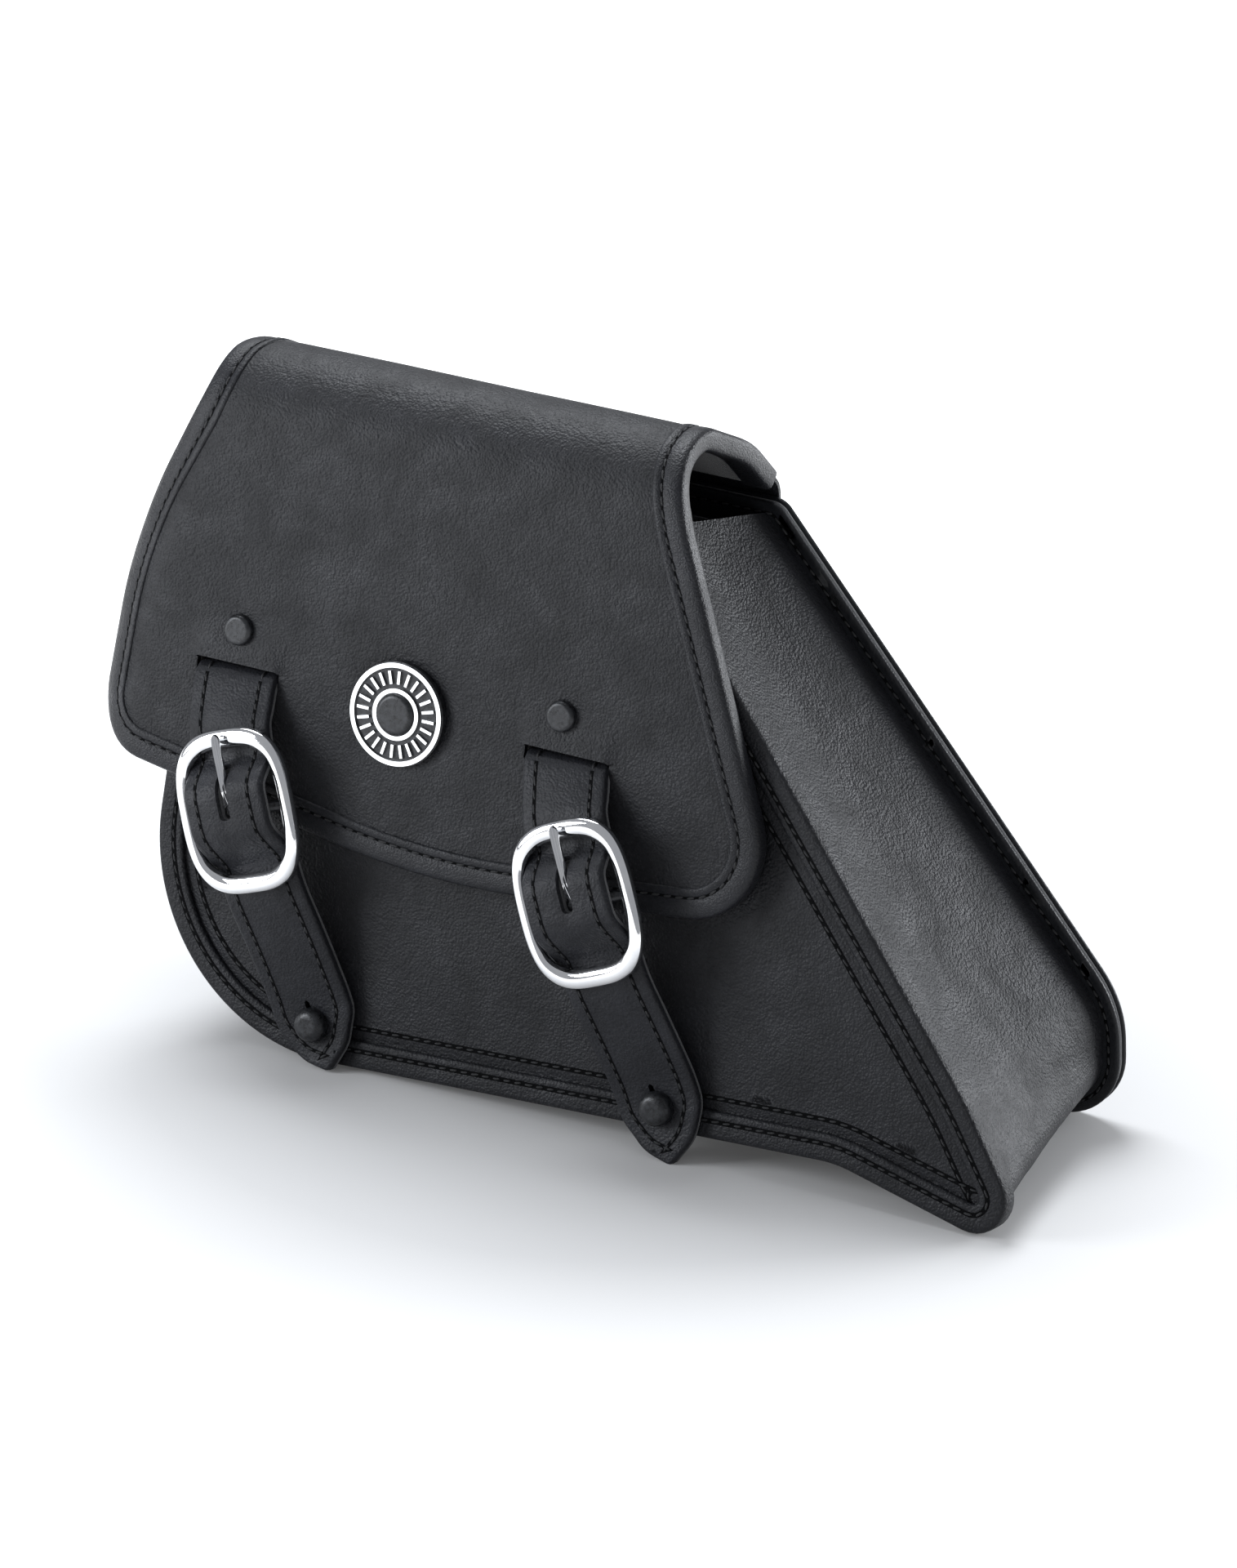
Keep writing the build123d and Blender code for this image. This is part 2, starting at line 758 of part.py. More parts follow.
pieces = {
    "back_skin": back_skin,
    "back_board": back_board,
    "back_facing": back_facing,
    "back_welt": back_welt,
    "back_liner": back_liner,
    "gusset": gusset,
    "gusset_liner": gusset_liner,
    "front_border": front_border,
    "front_panel": front_panel,
    "front_board": front_board,
    "front_liner": front_liner,
    "studs": studs,
    "stud_washers": stud_washers,
    "flap_skin": flap_skin,
    "flap_board": flap_board,
    "flap_liner": flap_liner,
    "flap_binding": flap_binding,
    "strap_tabs": strap_tabs,
    "cap_rivets": cap_rivets,
    "rivet_burrs": rivet_burrs,
    "badge_base": badge_base,
    "badge_trim": badge_trim,
    "badge_dome": badge_dome,
    "badge_nut": badge_nut,
    "strap_left": strap_left,
    "strap_right": strap_right,
    "strap_backing_left": strap_backing_left,
    "strap_backing_right": strap_backing_right,
    "buckle_left": buckle_left,
    "buckle_right": buckle_right,
    "prong_left": prong_left,
    "prong_right": prong_right,
    "hinge_strip": hinge_strip,
    "hinge_rivets": hinge_rivets,
    "load_plates": load_plates,
    "grommets": grommets,
}

os.makedirs("parts", exist_ok=True)
for name, piece in pieces.items():
    piece.part.label = name
    export_step(piece.part, f"parts/{name}.step")
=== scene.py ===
"""Leather swing-arm saddlebag: the looks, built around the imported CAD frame. Lengths in the
helpers are millimetres in the planes of the bag's panels; meshes are made in metres."""

import itertools
import math
import random

import bmesh
import bpy
import numpy as np
from mathutils import Matrix, Vector, noise
from mathutils.geometry import delaunay_2d_cdt


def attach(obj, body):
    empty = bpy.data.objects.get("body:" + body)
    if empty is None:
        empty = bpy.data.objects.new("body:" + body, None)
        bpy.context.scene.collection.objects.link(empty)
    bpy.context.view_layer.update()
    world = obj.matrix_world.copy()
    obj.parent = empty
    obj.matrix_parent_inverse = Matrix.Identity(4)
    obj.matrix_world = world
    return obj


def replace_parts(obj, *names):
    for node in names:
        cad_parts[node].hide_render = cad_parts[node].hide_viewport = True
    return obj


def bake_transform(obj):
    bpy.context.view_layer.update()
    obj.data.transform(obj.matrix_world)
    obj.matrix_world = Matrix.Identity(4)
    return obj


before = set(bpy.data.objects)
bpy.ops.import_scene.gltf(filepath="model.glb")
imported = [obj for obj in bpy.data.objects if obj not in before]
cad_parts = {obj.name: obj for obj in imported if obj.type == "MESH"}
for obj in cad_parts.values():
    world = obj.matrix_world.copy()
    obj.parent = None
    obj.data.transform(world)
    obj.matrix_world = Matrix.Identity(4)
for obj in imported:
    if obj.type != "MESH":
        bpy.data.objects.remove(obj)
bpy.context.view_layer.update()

MM = 0.001
random.seed(7)

# ---- the bag's planes, as in the CAD ---------------------------------------------------------

LEAN = math.radians(6.1)
LEAN_SIN, LEAN_COS = math.sin(LEAN), math.cos(LEAN)
FRONT_FOOT, BACK_FOOT, LIFT = -49.65, 70.85, 0.8
FRONT_TOP, BACK_TOP = 212.0, 203.0
FLAP_GAP, FLAP_STACK = 8.1, 5.4
LEATHER, LINING = 2.2, 1.2
SLOTS = ((-126.5, 133.3), (3.2, 129.3))
SIDES = ("left", "right")
STRAP_LEANS = tuple(math.radians(lean) for lean in (19.0, 22.4))
STUD_ALONGS = (126.0, 122.0)
BADGE = (-61.9, 130.1)


def front_yz(s, n):
    return (FRONT_FOOT + s * LEAN_SIN - n * LEAN_COS, LIFT + s * LEAN_COS + n * LEAN_SIN)


def back_yz(s, n):
    return (BACK_FOOT - s * LEAN_SIN + n * LEAN_COS, LIFT + s * LEAN_COS + n * LEAN_SIN)


def front(x, s, n):
    """A point s up the front plane and n outward from it."""
    y, z = front_yz(s, n)
    return (x * MM, y * MM, z * MM)


def back(x, s, n):
    """A point s up the rear plane and n outward, away from the bag."""
    y, z = back_yz(s, n)
    return (x * MM, y * MM, z * MM)


# ---- plane curves ----------------------------------------------------------------------------


def unit(dx, dy):
    length = math.hypot(dx, dy)
    return (dx / length, dy / length)


def between(p, q, k, n):
    return (p[0] + (q[0] - p[0]) * k / n, p[1] + (q[1] - p[1]) * k / n)


def corner(last, here, after, radius):
    """The arc that rounds a corner: its start, its end, its turn, and its kth point of n."""
    a = unit(last[0] - here[0], last[1] - here[1])
    b = unit(after[0] - here[0], after[1] - here[1])
    half = math.acos(max(-1, min(1, a[0] * b[0] + a[1] * b[1]))) / 2
    cut = radius / math.tan(half)
    p = (here[0] + a[0] * cut, here[1] + a[1] * cut)
    q = (here[0] + b[0] * cut, here[1] + b[1] * cut)
    mid = unit(a[0] + b[0], a[1] + b[1])
    reach = radius / math.sin(half)
    c = (here[0] + mid[0] * reach, here[1] + mid[1] * reach)
    t0 = math.atan2(p[1] - c[1], p[0] - c[0])
    turn = (math.atan2(q[1] - c[1], q[0] - c[0]) - t0 + math.pi) % (2 * math.pi) - math.pi

    def point(k, n):
        return (c[0] + radius * math.cos(t0 + turn * k / n), c[1] + radius * math.sin(t0 + turn * k / n))

    return p, q, turn, point


def rounded(corners, radii, closed, step=2.5, arc=9):
    """Points along a line with rounded corners."""
    count = len(corners)
    starts, ends, arcs = {}, {}, {}
    for i, here in enumerate(corners):
        if not closed and i in (0, count - 1):
            starts[i] = ends[i] = here
            arcs[i] = [here]
            continue
        radius = radii[i if closed else i - 1]
        starts[i], ends[i], turn, point = corner(corners[i - 1], here, corners[(i + 1) % count], radius)
        n = max(arc, int(abs(turn) * radius / step))
        arcs[i] = [point(k, n) for k in range(n + 1)]
    points = []
    for i in range(count):
        points += arcs[i]
        if not closed and i == count - 1:
            break
        p, q = ends[i], starts[(i + 1) % count]
        n = max(1, round(math.dist(p, q) / step))
        points += [between(p, q, k, n) for k in range(1, n)]
    return points


def left_normals(points, closed):
    """Mitred left-hand normals of a polyline."""
    count = len(points)
    normals = []
    for i in range(count):
        legs = []
        if closed or i > 0:
            legs.append(unit(points[i][0] - points[i - 1][0], points[i][1] - points[i - 1][1]))
        if closed or i < count - 1:
            j = (i + 1) % count
            legs.append(unit(points[j][0] - points[i][0], points[j][1] - points[i][1]))
        ns = [(-dy, dx) for dx, dy in legs]
        if len(ns) == 1:
            normals.append(ns[0])
            continue
        spread = 1 + ns[0][0] * ns[1][0] + ns[0][1] * ns[1][1]
        normals.append(((ns[0][0] + ns[1][0]) / spread, (ns[0][1] + ns[1][1]) / spread))
    return normals


def inset(points, distance, closed=True):
    return [
        (p[0] + n[0] * distance, p[1] + n[1] * distance)
        for p, n in zip(points, left_normals(points, closed))
    ]


def lengths(points):
    """Running length at each point of a polyline."""
    out = [0.0]
    for a, b in zip(points, points[1:]):
        out.append(out[-1] + math.dist(a, b))
    return out


def along(points, runs, t):
    """Point and unit tangent at running length t."""
    k = int(np.clip(np.searchsorted(runs, t) - 1, 0, len(points) - 2))
    a, b = points[k], points[k + 1]
    f = (t - runs[k]) / (runs[k + 1] - runs[k])
    # Blend the tangents of neighbouring legs so that swept surfaces stay smooth.
    here = unit(b[0] - a[0], b[1] - a[1])
    j = k + 1 if f > 0.5 else k - 1
    if 0 <= j < len(points) - 1:
        other = unit(points[j + 1][0] - points[j][0], points[j + 1][1] - points[j][1])
        w = abs(f - 0.5)
        here = unit(here[0] * (1 - w) + other[0] * w, here[1] * (1 - w) + other[1] * w)
    return (a[0] + (b[0] - a[0]) * f, a[1] + (b[1] - a[1]) * f), here


def inside(points, loop):
    """Even-odd test of many points against a loop, as a boolean array."""
    p = np.asarray(points, float).reshape(-1, 2)
    q = np.asarray(loop, float)
    r = np.roll(q, -1, axis=0)
    hit = np.zeros(len(p), bool)
    for (x0, y0), (x1, y1) in zip(q, r):
        if y0 == y1:
            continue
        cross = (p[:, 1] >= min(y0, y1)) & (p[:, 1] < max(y0, y1))
        hit ^= cross & (p[:, 0] < x0 + (p[:, 1] - y0) * (x1 - x0) / (y1 - y0))
    return hit


def to_loop(points, loop):
    """Distance from each of many points to a closed loop, in its plane."""
    p = np.asarray(points, float).reshape(-1, 2)
    q = np.asarray(loop, float)
    d = np.roll(q, -1, axis=0) - q
    rel = p[:, None, :] - q[None]
    f = np.clip((rel * d).sum(-1) / np.maximum((d * d).sum(-1), 1e-9), 0, 1)
    return np.sqrt(((rel - f[..., None] * d) ** 2).sum(-1).min(1))


def box(left, low, right, high):
    return [(left, low), (right, low), (right, high), (left, high)]


def circle(centre, radius, count=20):
    turns = [2 * math.pi * k / count for k in range(count)]
    return [(centre[0] + radius * math.cos(w), centre[1] + radius * math.sin(w)) for w in turns]


def smooth(t):
    t = max(0.0, min(1.0, t))
    return t * t * (3 - 2 * t)


def ripple(x, y, seed, size):
    """Smooth noise between about -1 and 1 over a plane."""
    return noise.noise(Vector((x / size, y / size, seed * 7.31)))


FRONT_CORNERS = (
    (-157.7 + 0.04 * FRONT_TOP, FRONT_TOP),
    (-161.8, -4.53),
    (114.5, 11.4),
    (193.0, -6.58),
    (158.5, 43.5),
    (158.5 - 0.8425 * (FRONT_TOP - 43.5), FRONT_TOP),
)
FRONT_RADII = (12, 72, 45, 12, 200, 12)
BACK_CORNERS = (
    (-157.7 + 0.04 * BACK_TOP, BACK_TOP),
    (-161.8, -2.41),
    (100.0, 6.0),
    (166.8, -4.32),
    (164.5, 45.0),
    (164.5 - 0.84 * (BACK_TOP - 45.0), BACK_TOP),
)
BACK_RADII = (8, 66, 60, 24, 40, 8)
front_edge = rounded(FRONT_CORNERS, FRONT_RADII, True)
back_edge = rounded(BACK_CORNERS, BACK_RADII, True)

# ---- mesh builders ---------------------------------------------------------------------------


def mesh_object(name, verts, faces, material, sharp=40.0):
    mesh = bpy.data.meshes.new(name)
    mesh.from_pydata([tuple(v) for v in verts], [], faces)
    bm = bmesh.new()
    bm.from_mesh(mesh)
    bmesh.ops.remove_doubles(bm, verts=bm.verts, dist=2e-6)
    bmesh.ops.recalc_face_normals(bm, faces=bm.faces)
    bm.to_mesh(mesh)
    bm.free()
    for polygon in mesh.polygons:
        polygon.use_smooth = True
    if sharp:
        mesh.set_sharp_from_angle(angle=math.radians(sharp))
    mesh.materials.append(material)
    obj = bpy.data.objects.new(name, mesh)
    bpy.context.scene.collection.objects.link(obj)
    return obj


def ring_faces(base, around, rings, closed=False, caps=True):
    """Faces between rings of points laid one after another, with caps on an open run."""
    faces = []
    for r in range(rings if closed else rings - 1):
        a, b = base + r * around, base + (r + 1) % rings * around
        for i in range(around):
            j = (i + 1) % around
            faces.append((a + i, a + j, b + j, b + i))
    if caps and not closed:
        for first in (base, base + (rings - 1) * around):
            faces.append(tuple(range(first, first + around)))
    return faces


ROUND = ((0.0, 0.75), (0.25, 0.3), (0.8, 0.06), (1.8, 0.0))
FLAT = ((0.0, 0.0), (1.5, 0.0))


def sheet(name, outline, top, bottom, place, material, spacing=5.0, holes=(), edge=ROUND,
          under_edge=None, sharp=40.0):
    """A closed sheet of leather over a plane outline. top and bottom give its two heights at
    a point; edge lists (inset, drop) rings that round its rim."""
    under_edge = edge if under_edge is None else under_edge
    rings = [inset(outline, ring[0]) for ring in edge]
    count = len(outline)
    flat = [p for ring in rings for p in ring]
    drops = [ring[1] for ring in edge for _ in range(count)]
    under = [ring[1] for ring in under_edge for _ in range(count)]
    quads = ring_faces(0, count, len(rings), caps=False)
    inner = rings[-1]
    low = np.min(inner, axis=0)
    size = np.max(inner, axis=0) - low
    nx, ny = (max(2, round(length / spacing)) for length in size)
    grid = np.asarray([
        (low[0] + size[0] * (i + (0.5 if j % 2 else 0.0)) / nx, low[1] + size[1] * j / ny)
        for j in range(1, ny) for i in range(nx + 1)
    ])
    keep = inside(grid, inner)
    for loop in (inner, *holes):
        keep &= to_loop(grid, loop) > spacing * 0.45
    for hole in holes:
        keep &= ~inside(grid, hole)
    points, links = [], []
    for loop in (inner, *holes):
        first = len(points)
        points += [tuple(p) for p in loop]
        links += [(first + k, first + (k + 1) % len(loop)) for k in range(len(loop))]
    points += [tuple(p) for p in grid[keep]]
    made, _, tris, *_ = delaunay_2d_cdt([Vector(p) for p in points], links, [], 0, 1e-5)
    centres = np.array([np.mean([made[i] for i in tri], axis=0) for tri in tris])
    good = inside(centres, inner)
    for hole in holes:
        good &= ~inside(centres, hole)
    base = len(flat)
    flat += [tuple(p) for p in made]
    drops += [edge[-1][1]] * len(made)
    under += [under_edge[-1][1]] * len(made)
    tris = [tuple(base + i for i in tri) for tri, ok in zip(tris, good) if ok]
    total = len(flat)
    verts = [place(p[0], p[1], top(*p) - d) for p, d in zip(flat, drops)]
    verts += [place(p[0], p[1], bottom(*p) + d) for p, d in zip(flat, under)]
    faces = quads + tris
    faces += [tuple(total + i for i in reversed(face)) for face in faces]
    faces += [(k, k + total, (k + 1) % count + total, (k + 1) % count) for k in range(count)]
    edges = {}
    for tri in tris:
        for a, b in zip(tri, tri[1:] + tri[:1]):
            key = tuple(sorted((a, b)))
            edges[key] = edges.get(key, 0) + 1
    ring_set = {tuple(round(c, 3) for c in p) for p in inner}
    for (a, b), times in edges.items():
        on_ring = all(tuple(round(c, 3) for c in flat[i]) in ring_set for i in (a, b))
        if times == 1 and not on_ring:
            faces.append((a, b, b + total, a + total))
    return mesh_object(name, verts, faces, material, sharp)


def sweep(name, path, section, place, material, closed=True, sharp=40.0):
    """A closed section of (inset, height) points carried along a plane curve."""
    normals = left_normals(path, closed)
    verts = []
    for p, n in zip(path, normals):
        verts += [place(p[0] + n[0] * d, p[1] + n[1] * d, h) for d, h in section]
    faces = ring_faces(0, len(section), len(path), closed)
    return mesh_object(name, verts, faces, material, sharp)


def stitches(name, rows, place, material, pitch=4.2, long=3.3, thick=0.42, sink=0.1):
    """Thread: one short rounded stitch after another along plane curves. rows lists
    (points, height function)."""
    verts, faces = [], []
    around, stations = 6, (-1.0, -0.8, -0.4, 0.4, 0.8, 1.0)
    widths = (0.25, 0.75, 1.0, 1.0, 0.75, 0.25)
    for points, height in rows:
        runs = lengths(points)
        number = int(runs[-1] / pitch)
        for k in range(number):
            mid, tangent = along(points, runs, (k + 0.5) * runs[-1] / number)
            slant = math.radians(random.uniform(3, 9))
            tx = tangent[0] * math.cos(slant) - tangent[1] * math.sin(slant)
            ty = tangent[0] * math.sin(slant) + tangent[1] * math.cos(slant)
            half = long / 2 * random.uniform(0.92, 1.05)
            base = len(verts)
            for station, width in zip(stations, widths):
                cx, cy = mid[0] + tx * half * station, mid[1] + ty * half * station
                dip = sink + 0.55 * station ** 4
                for a in range(around):
                    w = 2 * math.pi * a / around
                    off = thick * width * math.cos(w)
                    h = height(cx, cy) - dip + thick * width * math.sin(w)
                    verts.append(place(cx - ty * off, cy + tx * off, h))
            faces += ring_faces(base, around, len(stations))
    return mesh_object(name, verts, faces, material, 0)


def seam_shade_ribbon(name, rows, place, material, width=1.25, above=0.03):
    """Painted shade for the pressed groove that a row of stitches lies in: a narrow dark ribbon just above
    the leather's surface. rows lists (points, height function)."""
    verts, faces = [], []
    for points, height in rows:
        normals = left_normals(points, False)
        base = len(verts)
        for p, n in zip(points, normals):
            for d, lift in ((-width / 2, -0.2), (-width / 2, above), (width / 2, above), (width / 2, -0.2)):
                verts.append(place(p[0] + n[0] * d, p[1] + n[1] * d, height(*p) + lift))
        faces += ring_faces(base, 4, len(points))
    return mesh_object(name, verts, faces, material, 40)


# ---- materials -------------------------------------------------------------------------------


class Nodes:
    """A small helper that adds nodes to one material and links them."""

    def __init__(self, name):
        self.material = bpy.data.materials.new(name)
        self.material.use_nodes = True
        self.tree = self.material.node_tree
        self.shader = self.tree.nodes["Principled BSDF"]
        self.coords = self.tree.nodes.new("ShaderNodeTexCoord").outputs["Object"]

    def add(self, kind, **values):
        node = self.tree.nodes.new("ShaderNode" + kind)
        for key, value in values.items():
            if hasattr(node, key):
                setattr(node, key, value)
            else:
                self.put(node.inputs[key.replace("_", " ")], value)
        return node

    def put(self, socket, value):
        if isinstance(value, bpy.types.NodeSocket):
            self.tree.links.new(value, socket)
        else:
            socket.default_value = value

    def noise(self, scale, detail=2.0, rough=0.5, distort=0.0):
        return self.add("TexNoise", Vector=self.coords, Scale=scale, Detail=detail,
                        Roughness=rough, Distortion=distort).outputs["Fac"]

    def spread(self, value, low, high, to_low, to_high):
        node = self.add("MapRange", Value=value)
        for key, number in (("From Min", low), ("From Max", high), ("To Min", to_low), ("To Max", to_high)):
            node.inputs[key].default_value = number
        return node.outputs["Result"]

    def maths(self, operation, a, b):
        node = self.tree.nodes.new("ShaderNodeMath")
        node.operation = operation
        self.put(node.inputs[0], a)
        self.put(node.inputs[1], b)
        return node.outputs[0]

    def mix(self, fac, a, b):
        node = self.tree.nodes.new("ShaderNodeMix")
        node.data_type = "RGBA"
        self.put(node.inputs["Factor"], fac)
        self.put(node.inputs["A"], (*a, 1.0) if isinstance(a, tuple) else a)
        self.put(node.inputs["B"], (*b, 1.0) if isinstance(b, tuple) else b)
        return node.outputs["Result"]

    def bump(self, height, strength, distance, below=None):
        node = self.add("Bump", Height=height, Strength=strength, Distance=distance)
        if below is not None:
            self.put(node.inputs["Normal"], below)
        return node.outputs["Normal"]

    def finish(self, **values):
        for key, value in values.items():
            self.put(self.shader.inputs[key.replace("_", " ")], value)
        return self.material


def leather(name, dark, light, rough=(0.40, 0.58), grain=0.5, pebble=1150.0):
    """Fine-grained leather: pebbled cells broken by noise, with cloudy tone and gloss."""
    n = Nodes(name)
    clouds = n.noise(16.0, 3.0, 0.6)
    patches = n.noise(60.0, 4.0, 0.6, 0.4)
    pores_tone = n.noise(700.0, 4.0, 0.7)
    cloudy = n.maths("ADD", n.maths("MULTIPLY", clouds, 0.5), n.maths("ADD", patches, pores_tone))
    tone = n.spread(cloudy, 0.9, 1.7, 0.0, 1.0)
    cells = n.add("TexVoronoi", Vector=n.coords, Scale=pebble, feature="SMOOTH_F1")
    cells.inputs["Smoothness"].default_value = 0.6
    pores = n.noise(pebble * 2.2, 3.0, 0.65)
    soft = n.noise(pebble * 0.33, 3.0, 0.55)
    height = n.maths("ADD", n.maths("MULTIPLY", cells.outputs["Distance"], -0.8),
                     n.maths("ADD", n.maths("MULTIPLY", pores, 0.35), n.maths("MULTIPLY", soft, 0.8)))
    crease = n.noise(210.0, 4.0, 0.6, 1.2)
    base = n.mix(tone, dark, light)
    worn = n.spread(n.maths("MULTIPLY", patches, pores), 0.30, 0.42, 0.0, 0.35)
    colour = n.mix(worn, base, tuple(c * 1.6 + 0.004 for c in light))
    gloss = n.spread(n.maths("ADD", patches, n.maths("MULTIPLY", pores, 0.5)), 0.55, 1.0, rough[1], rough[0])
    wave = n.bump(crease, 0.18, 0.0012)
    normal = n.bump(height, grain, 0.00045, wave)
    return n.finish(Base_Color=colour, Roughness=gloss, Normal=normal, Specular_IOR_Level=0.25)


def suede(name, dark, light, sheen=0.25, specular=0.5):
    n = Nodes(name)
    nap = n.noise(1900.0, 5.0, 0.75)
    brushed = n.noise(45.0, 4.0, 0.6, 0.8)
    colour = n.mix(n.spread(n.maths("ADD", nap, brushed), 0.7, 1.3, 0.0, 1.0), dark, light)
    rough = n.spread(brushed, 0.3, 0.7, 0.97, 0.86)
    return n.finish(Base_Color=colour, Roughness=rough, Normal=n.bump(nap, 0.7, 0.0006),
                    Sheen_Weight=sheen, Sheen_Roughness=0.6, Specular_IOR_Level=specular)


def metal(name, dark, light, rough, metallic, blotch=120.0, depth=0.00003, strength=0.15):
    n = Nodes(name)
    spots = n.noise(blotch, 4.0, 0.6)
    fine = n.noise(2600.0, 3.0, 0.6)
    colour = n.mix(n.spread(spots, 0.35, 0.65, 0.0, 1.0), dark, light)
    gloss = n.spread(n.maths("ADD", spots, n.maths("MULTIPLY", fine, 0.4)), 0.5, 0.9, rough[0], rough[1])
    return n.finish(Base_Color=colour, Roughness=gloss, Metallic=metallic,
                    Normal=n.bump(n.maths("ADD", fine, spots), strength, depth))


def thread_material(name, dark, light):
    n = Nodes(name)
    twist = n.add("TexWave", Vector=n.coords, Scale=900.0, Distortion=1.5, Detail=1.0)
    fuzz = n.noise(3000.0, 3.0, 0.7)
    colour = n.mix(twist.outputs["Fac"], dark, light)
    return n.finish(Base_Color=colour, Roughness=n.spread(fuzz, 0.3, 0.7, 0.55, 0.8),
                    Normal=n.bump(twist.outputs["Fac"], 0.5, 0.0002))


outer = leather("outer_leather_grain", (0.0046, 0.0049, 0.0061), (0.0122, 0.0128, 0.0157), grain=0.75)
strap_leather = leather("strap_leather_grain", (0.0066, 0.007, 0.0088), (0.0165, 0.0173, 0.0212), grain=0.6)
binding = leather("binding_leather_grain", (0.0062, 0.0066, 0.0082), (0.0155, 0.0163, 0.02),
                  rough=(0.34, 0.5), grain=0.5, pebble=1500.0)
flange_leather = leather("flange_leather_grain", (0.006, 0.0066, 0.0082), (0.013, 0.014, 0.0168),
                         rough=(0.38, 0.52), grain=0.3)
lining_suede = suede("lining_suede_nap", (0.012, 0.0125, 0.0135), (0.034, 0.035, 0.038))
strap_suede = suede("strap_suede_nap", (0.02, 0.021, 0.0235), (0.06, 0.062, 0.067))
fibre_board = suede("fibre_board_grain", (0.03, 0.028, 0.025), (0.07, 0.065, 0.06))
chrome = metal("chrome_plate", (0.80, 0.81, 0.83), (0.88, 0.885, 0.89), (0.03, 0.075), 1.0)
black_steel = metal("black_enamel_mottle", (0.006, 0.0065, 0.0075), (0.024, 0.0255, 0.029), (0.24, 0.42),
                    0.35, blotch=700.0, depth=0.00012, strength=0.45)
zinc = metal("zinc_plate", (0.36, 0.37, 0.38), (0.52, 0.53, 0.54), (0.28, 0.42), 1.0)
thread = thread_material("waxed_thread", (0.004, 0.0042, 0.005), (0.013, 0.0138, 0.0155))
# Painted shade: a near-black, sheenless, barely glossy finish for the ribbons that stand in for the shade
# inside the pressed stitch grooves.
groove_shade = suede("stitch_groove_painted_shade", (0.0012, 0.0013, 0.0015), (0.0035, 0.0037, 0.0042), 0.0, 0.08)

CAD_FINISHES = (
    (fibre_board, "back_board front_board flap_board"),
    (lining_suede, "back_liner front_liner flap_liner gusset_liner"),
    (black_steel, "studs cap_rivets badge_base badge_dome hinge_rivets"),
    (zinc, "stud_washers rivet_burrs badge_nut load_plates grommets"),
    (chrome, "badge_trim prong_left prong_right buckle_left buckle_right"),
    (flange_leather, "back_skin back_facing back_welt"),
    (outer, "gusset front_border front_panel flap_skin hinge_strip"),
    (binding, "flap_binding"),
    (strap_leather, "strap_tabs strap_left strap_right"),
    (strap_suede, "strap_backing_left strap_backing_right"),
)
for finish, names in CAD_FINISHES:
    for node in names.split():
        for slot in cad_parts[node].material_slots:
            slot.material = finish

# ---- camera, floor and lights ----------------------------------------------------------------

AZIMUTH, ELEVATION, ROLL = math.radians(28.24), math.radians(19.78), math.radians(3.18)
DISTANCE, LENS = 2.5, 164.1
TARGET = Vector((-0.03358, 0.06195, 0.0814))
away = Vector((math.sin(AZIMUTH) * math.cos(ELEVATION), -math.cos(AZIMUTH) * math.cos(ELEVATION),
               math.sin(ELEVATION)))
level = Vector((math.cos(AZIMUTH), math.sin(AZIMUTH), 0.0))
upward = away.cross(level)
right = level * math.cos(ROLL) + upward * math.sin(ROLL)
above = away.cross(right)

camera_data = bpy.data.cameras.new("camera")
camera_data.lens = LENS
camera_data.sensor_width = 36.0
camera = bpy.data.objects.new("camera", camera_data)
bpy.context.scene.collection.objects.link(camera)
rotation = np.array([right, above, away]).T
camera.matrix_world = Matrix.Translation(TARGET + away * DISTANCE) @ Matrix(rotation.tolist()).to_4x4()
bpy.context.scene.camera = camera

floor_nodes = Nodes("studio_floor")
floor_tone = floor_nodes.mix(floor_nodes.noise(3.0, 2.0), (0.56, 0.56, 0.56), (0.59, 0.59, 0.59))
far = floor_nodes.add("VectorMath", operation="LENGTH")
floor_nodes.put(far.inputs[0], floor_nodes.coords)
glow = floor_nodes.spread(far.outputs["Value"], 0.16, 0.6, 0.05, 0.95)
floor_material = floor_nodes.finish(Base_Color=floor_tone, Roughness=0.6, Emission_Color=(1.0, 1.0, 1.0, 1.0),
                                    Emission_Strength=glow)
bpy.ops.mesh.primitive_circle_add(vertices=64, radius=14.0, fill_type="NGON", location=(0, 0, 0))
floor = bpy.context.object
floor.name = "floor"
floor.data.materials.append(floor_material)

world = bpy.data.worlds.new("studio")
bpy.context.scene.world = world
world.use_nodes = True
backdrop = world.node_tree.nodes["Background"].inputs
backdrop["Color"].default_value = (0.93, 0.95, 1.0, 1.0)
backdrop["Strength"].default_value = 0.38
bpy.context.scene.view_settings.view_transform = "Standard"


def light(name, place, aim, size, power, tint):
    data = bpy.data.lights.new(name, "AREA")
    data.shape = "RECTANGLE"
    data.size, data.size_y = size
    data.energy = power
    data.color = tint
    obj = bpy.data.objects.new(name, data)
    bpy.context.scene.collection.objects.link(obj)
    obj.location = place
    obj.rotation_mode = "QUATERNION"
    obj.rotation_quaternion = (Vector(aim) - Vector(place)).to_track_quat("-Z", "Y")


COOL = (0.93, 0.96, 1.0)
light("top", (-0.55, 0.45, 1.5), (0.0, 0.0, 0.12), (1.1, 0.9), 33.0, COOL)
light("back_right", (0.85, 1.1, 0.34), (0.16, 0.0, 0.02), (0.7, 0.35), 16.0, COOL)
light("front_left", (-0.8, -0.8, 0.42), (-0.14, -0.06, 0.10), (0.5, 0.6), 10.5, COOL)

# ---- rear panel ------------------------------------------------------------------------------

BACK_STACK = 6.4
BOLTS = [(-60.0 + sx * 45.0, 100.0 + sy * 45.0) for sx in (-1, 1) for sy in (-1, 1)]
bolt_holes = [circle(p, 6.15, 24) for p in BOLTS]


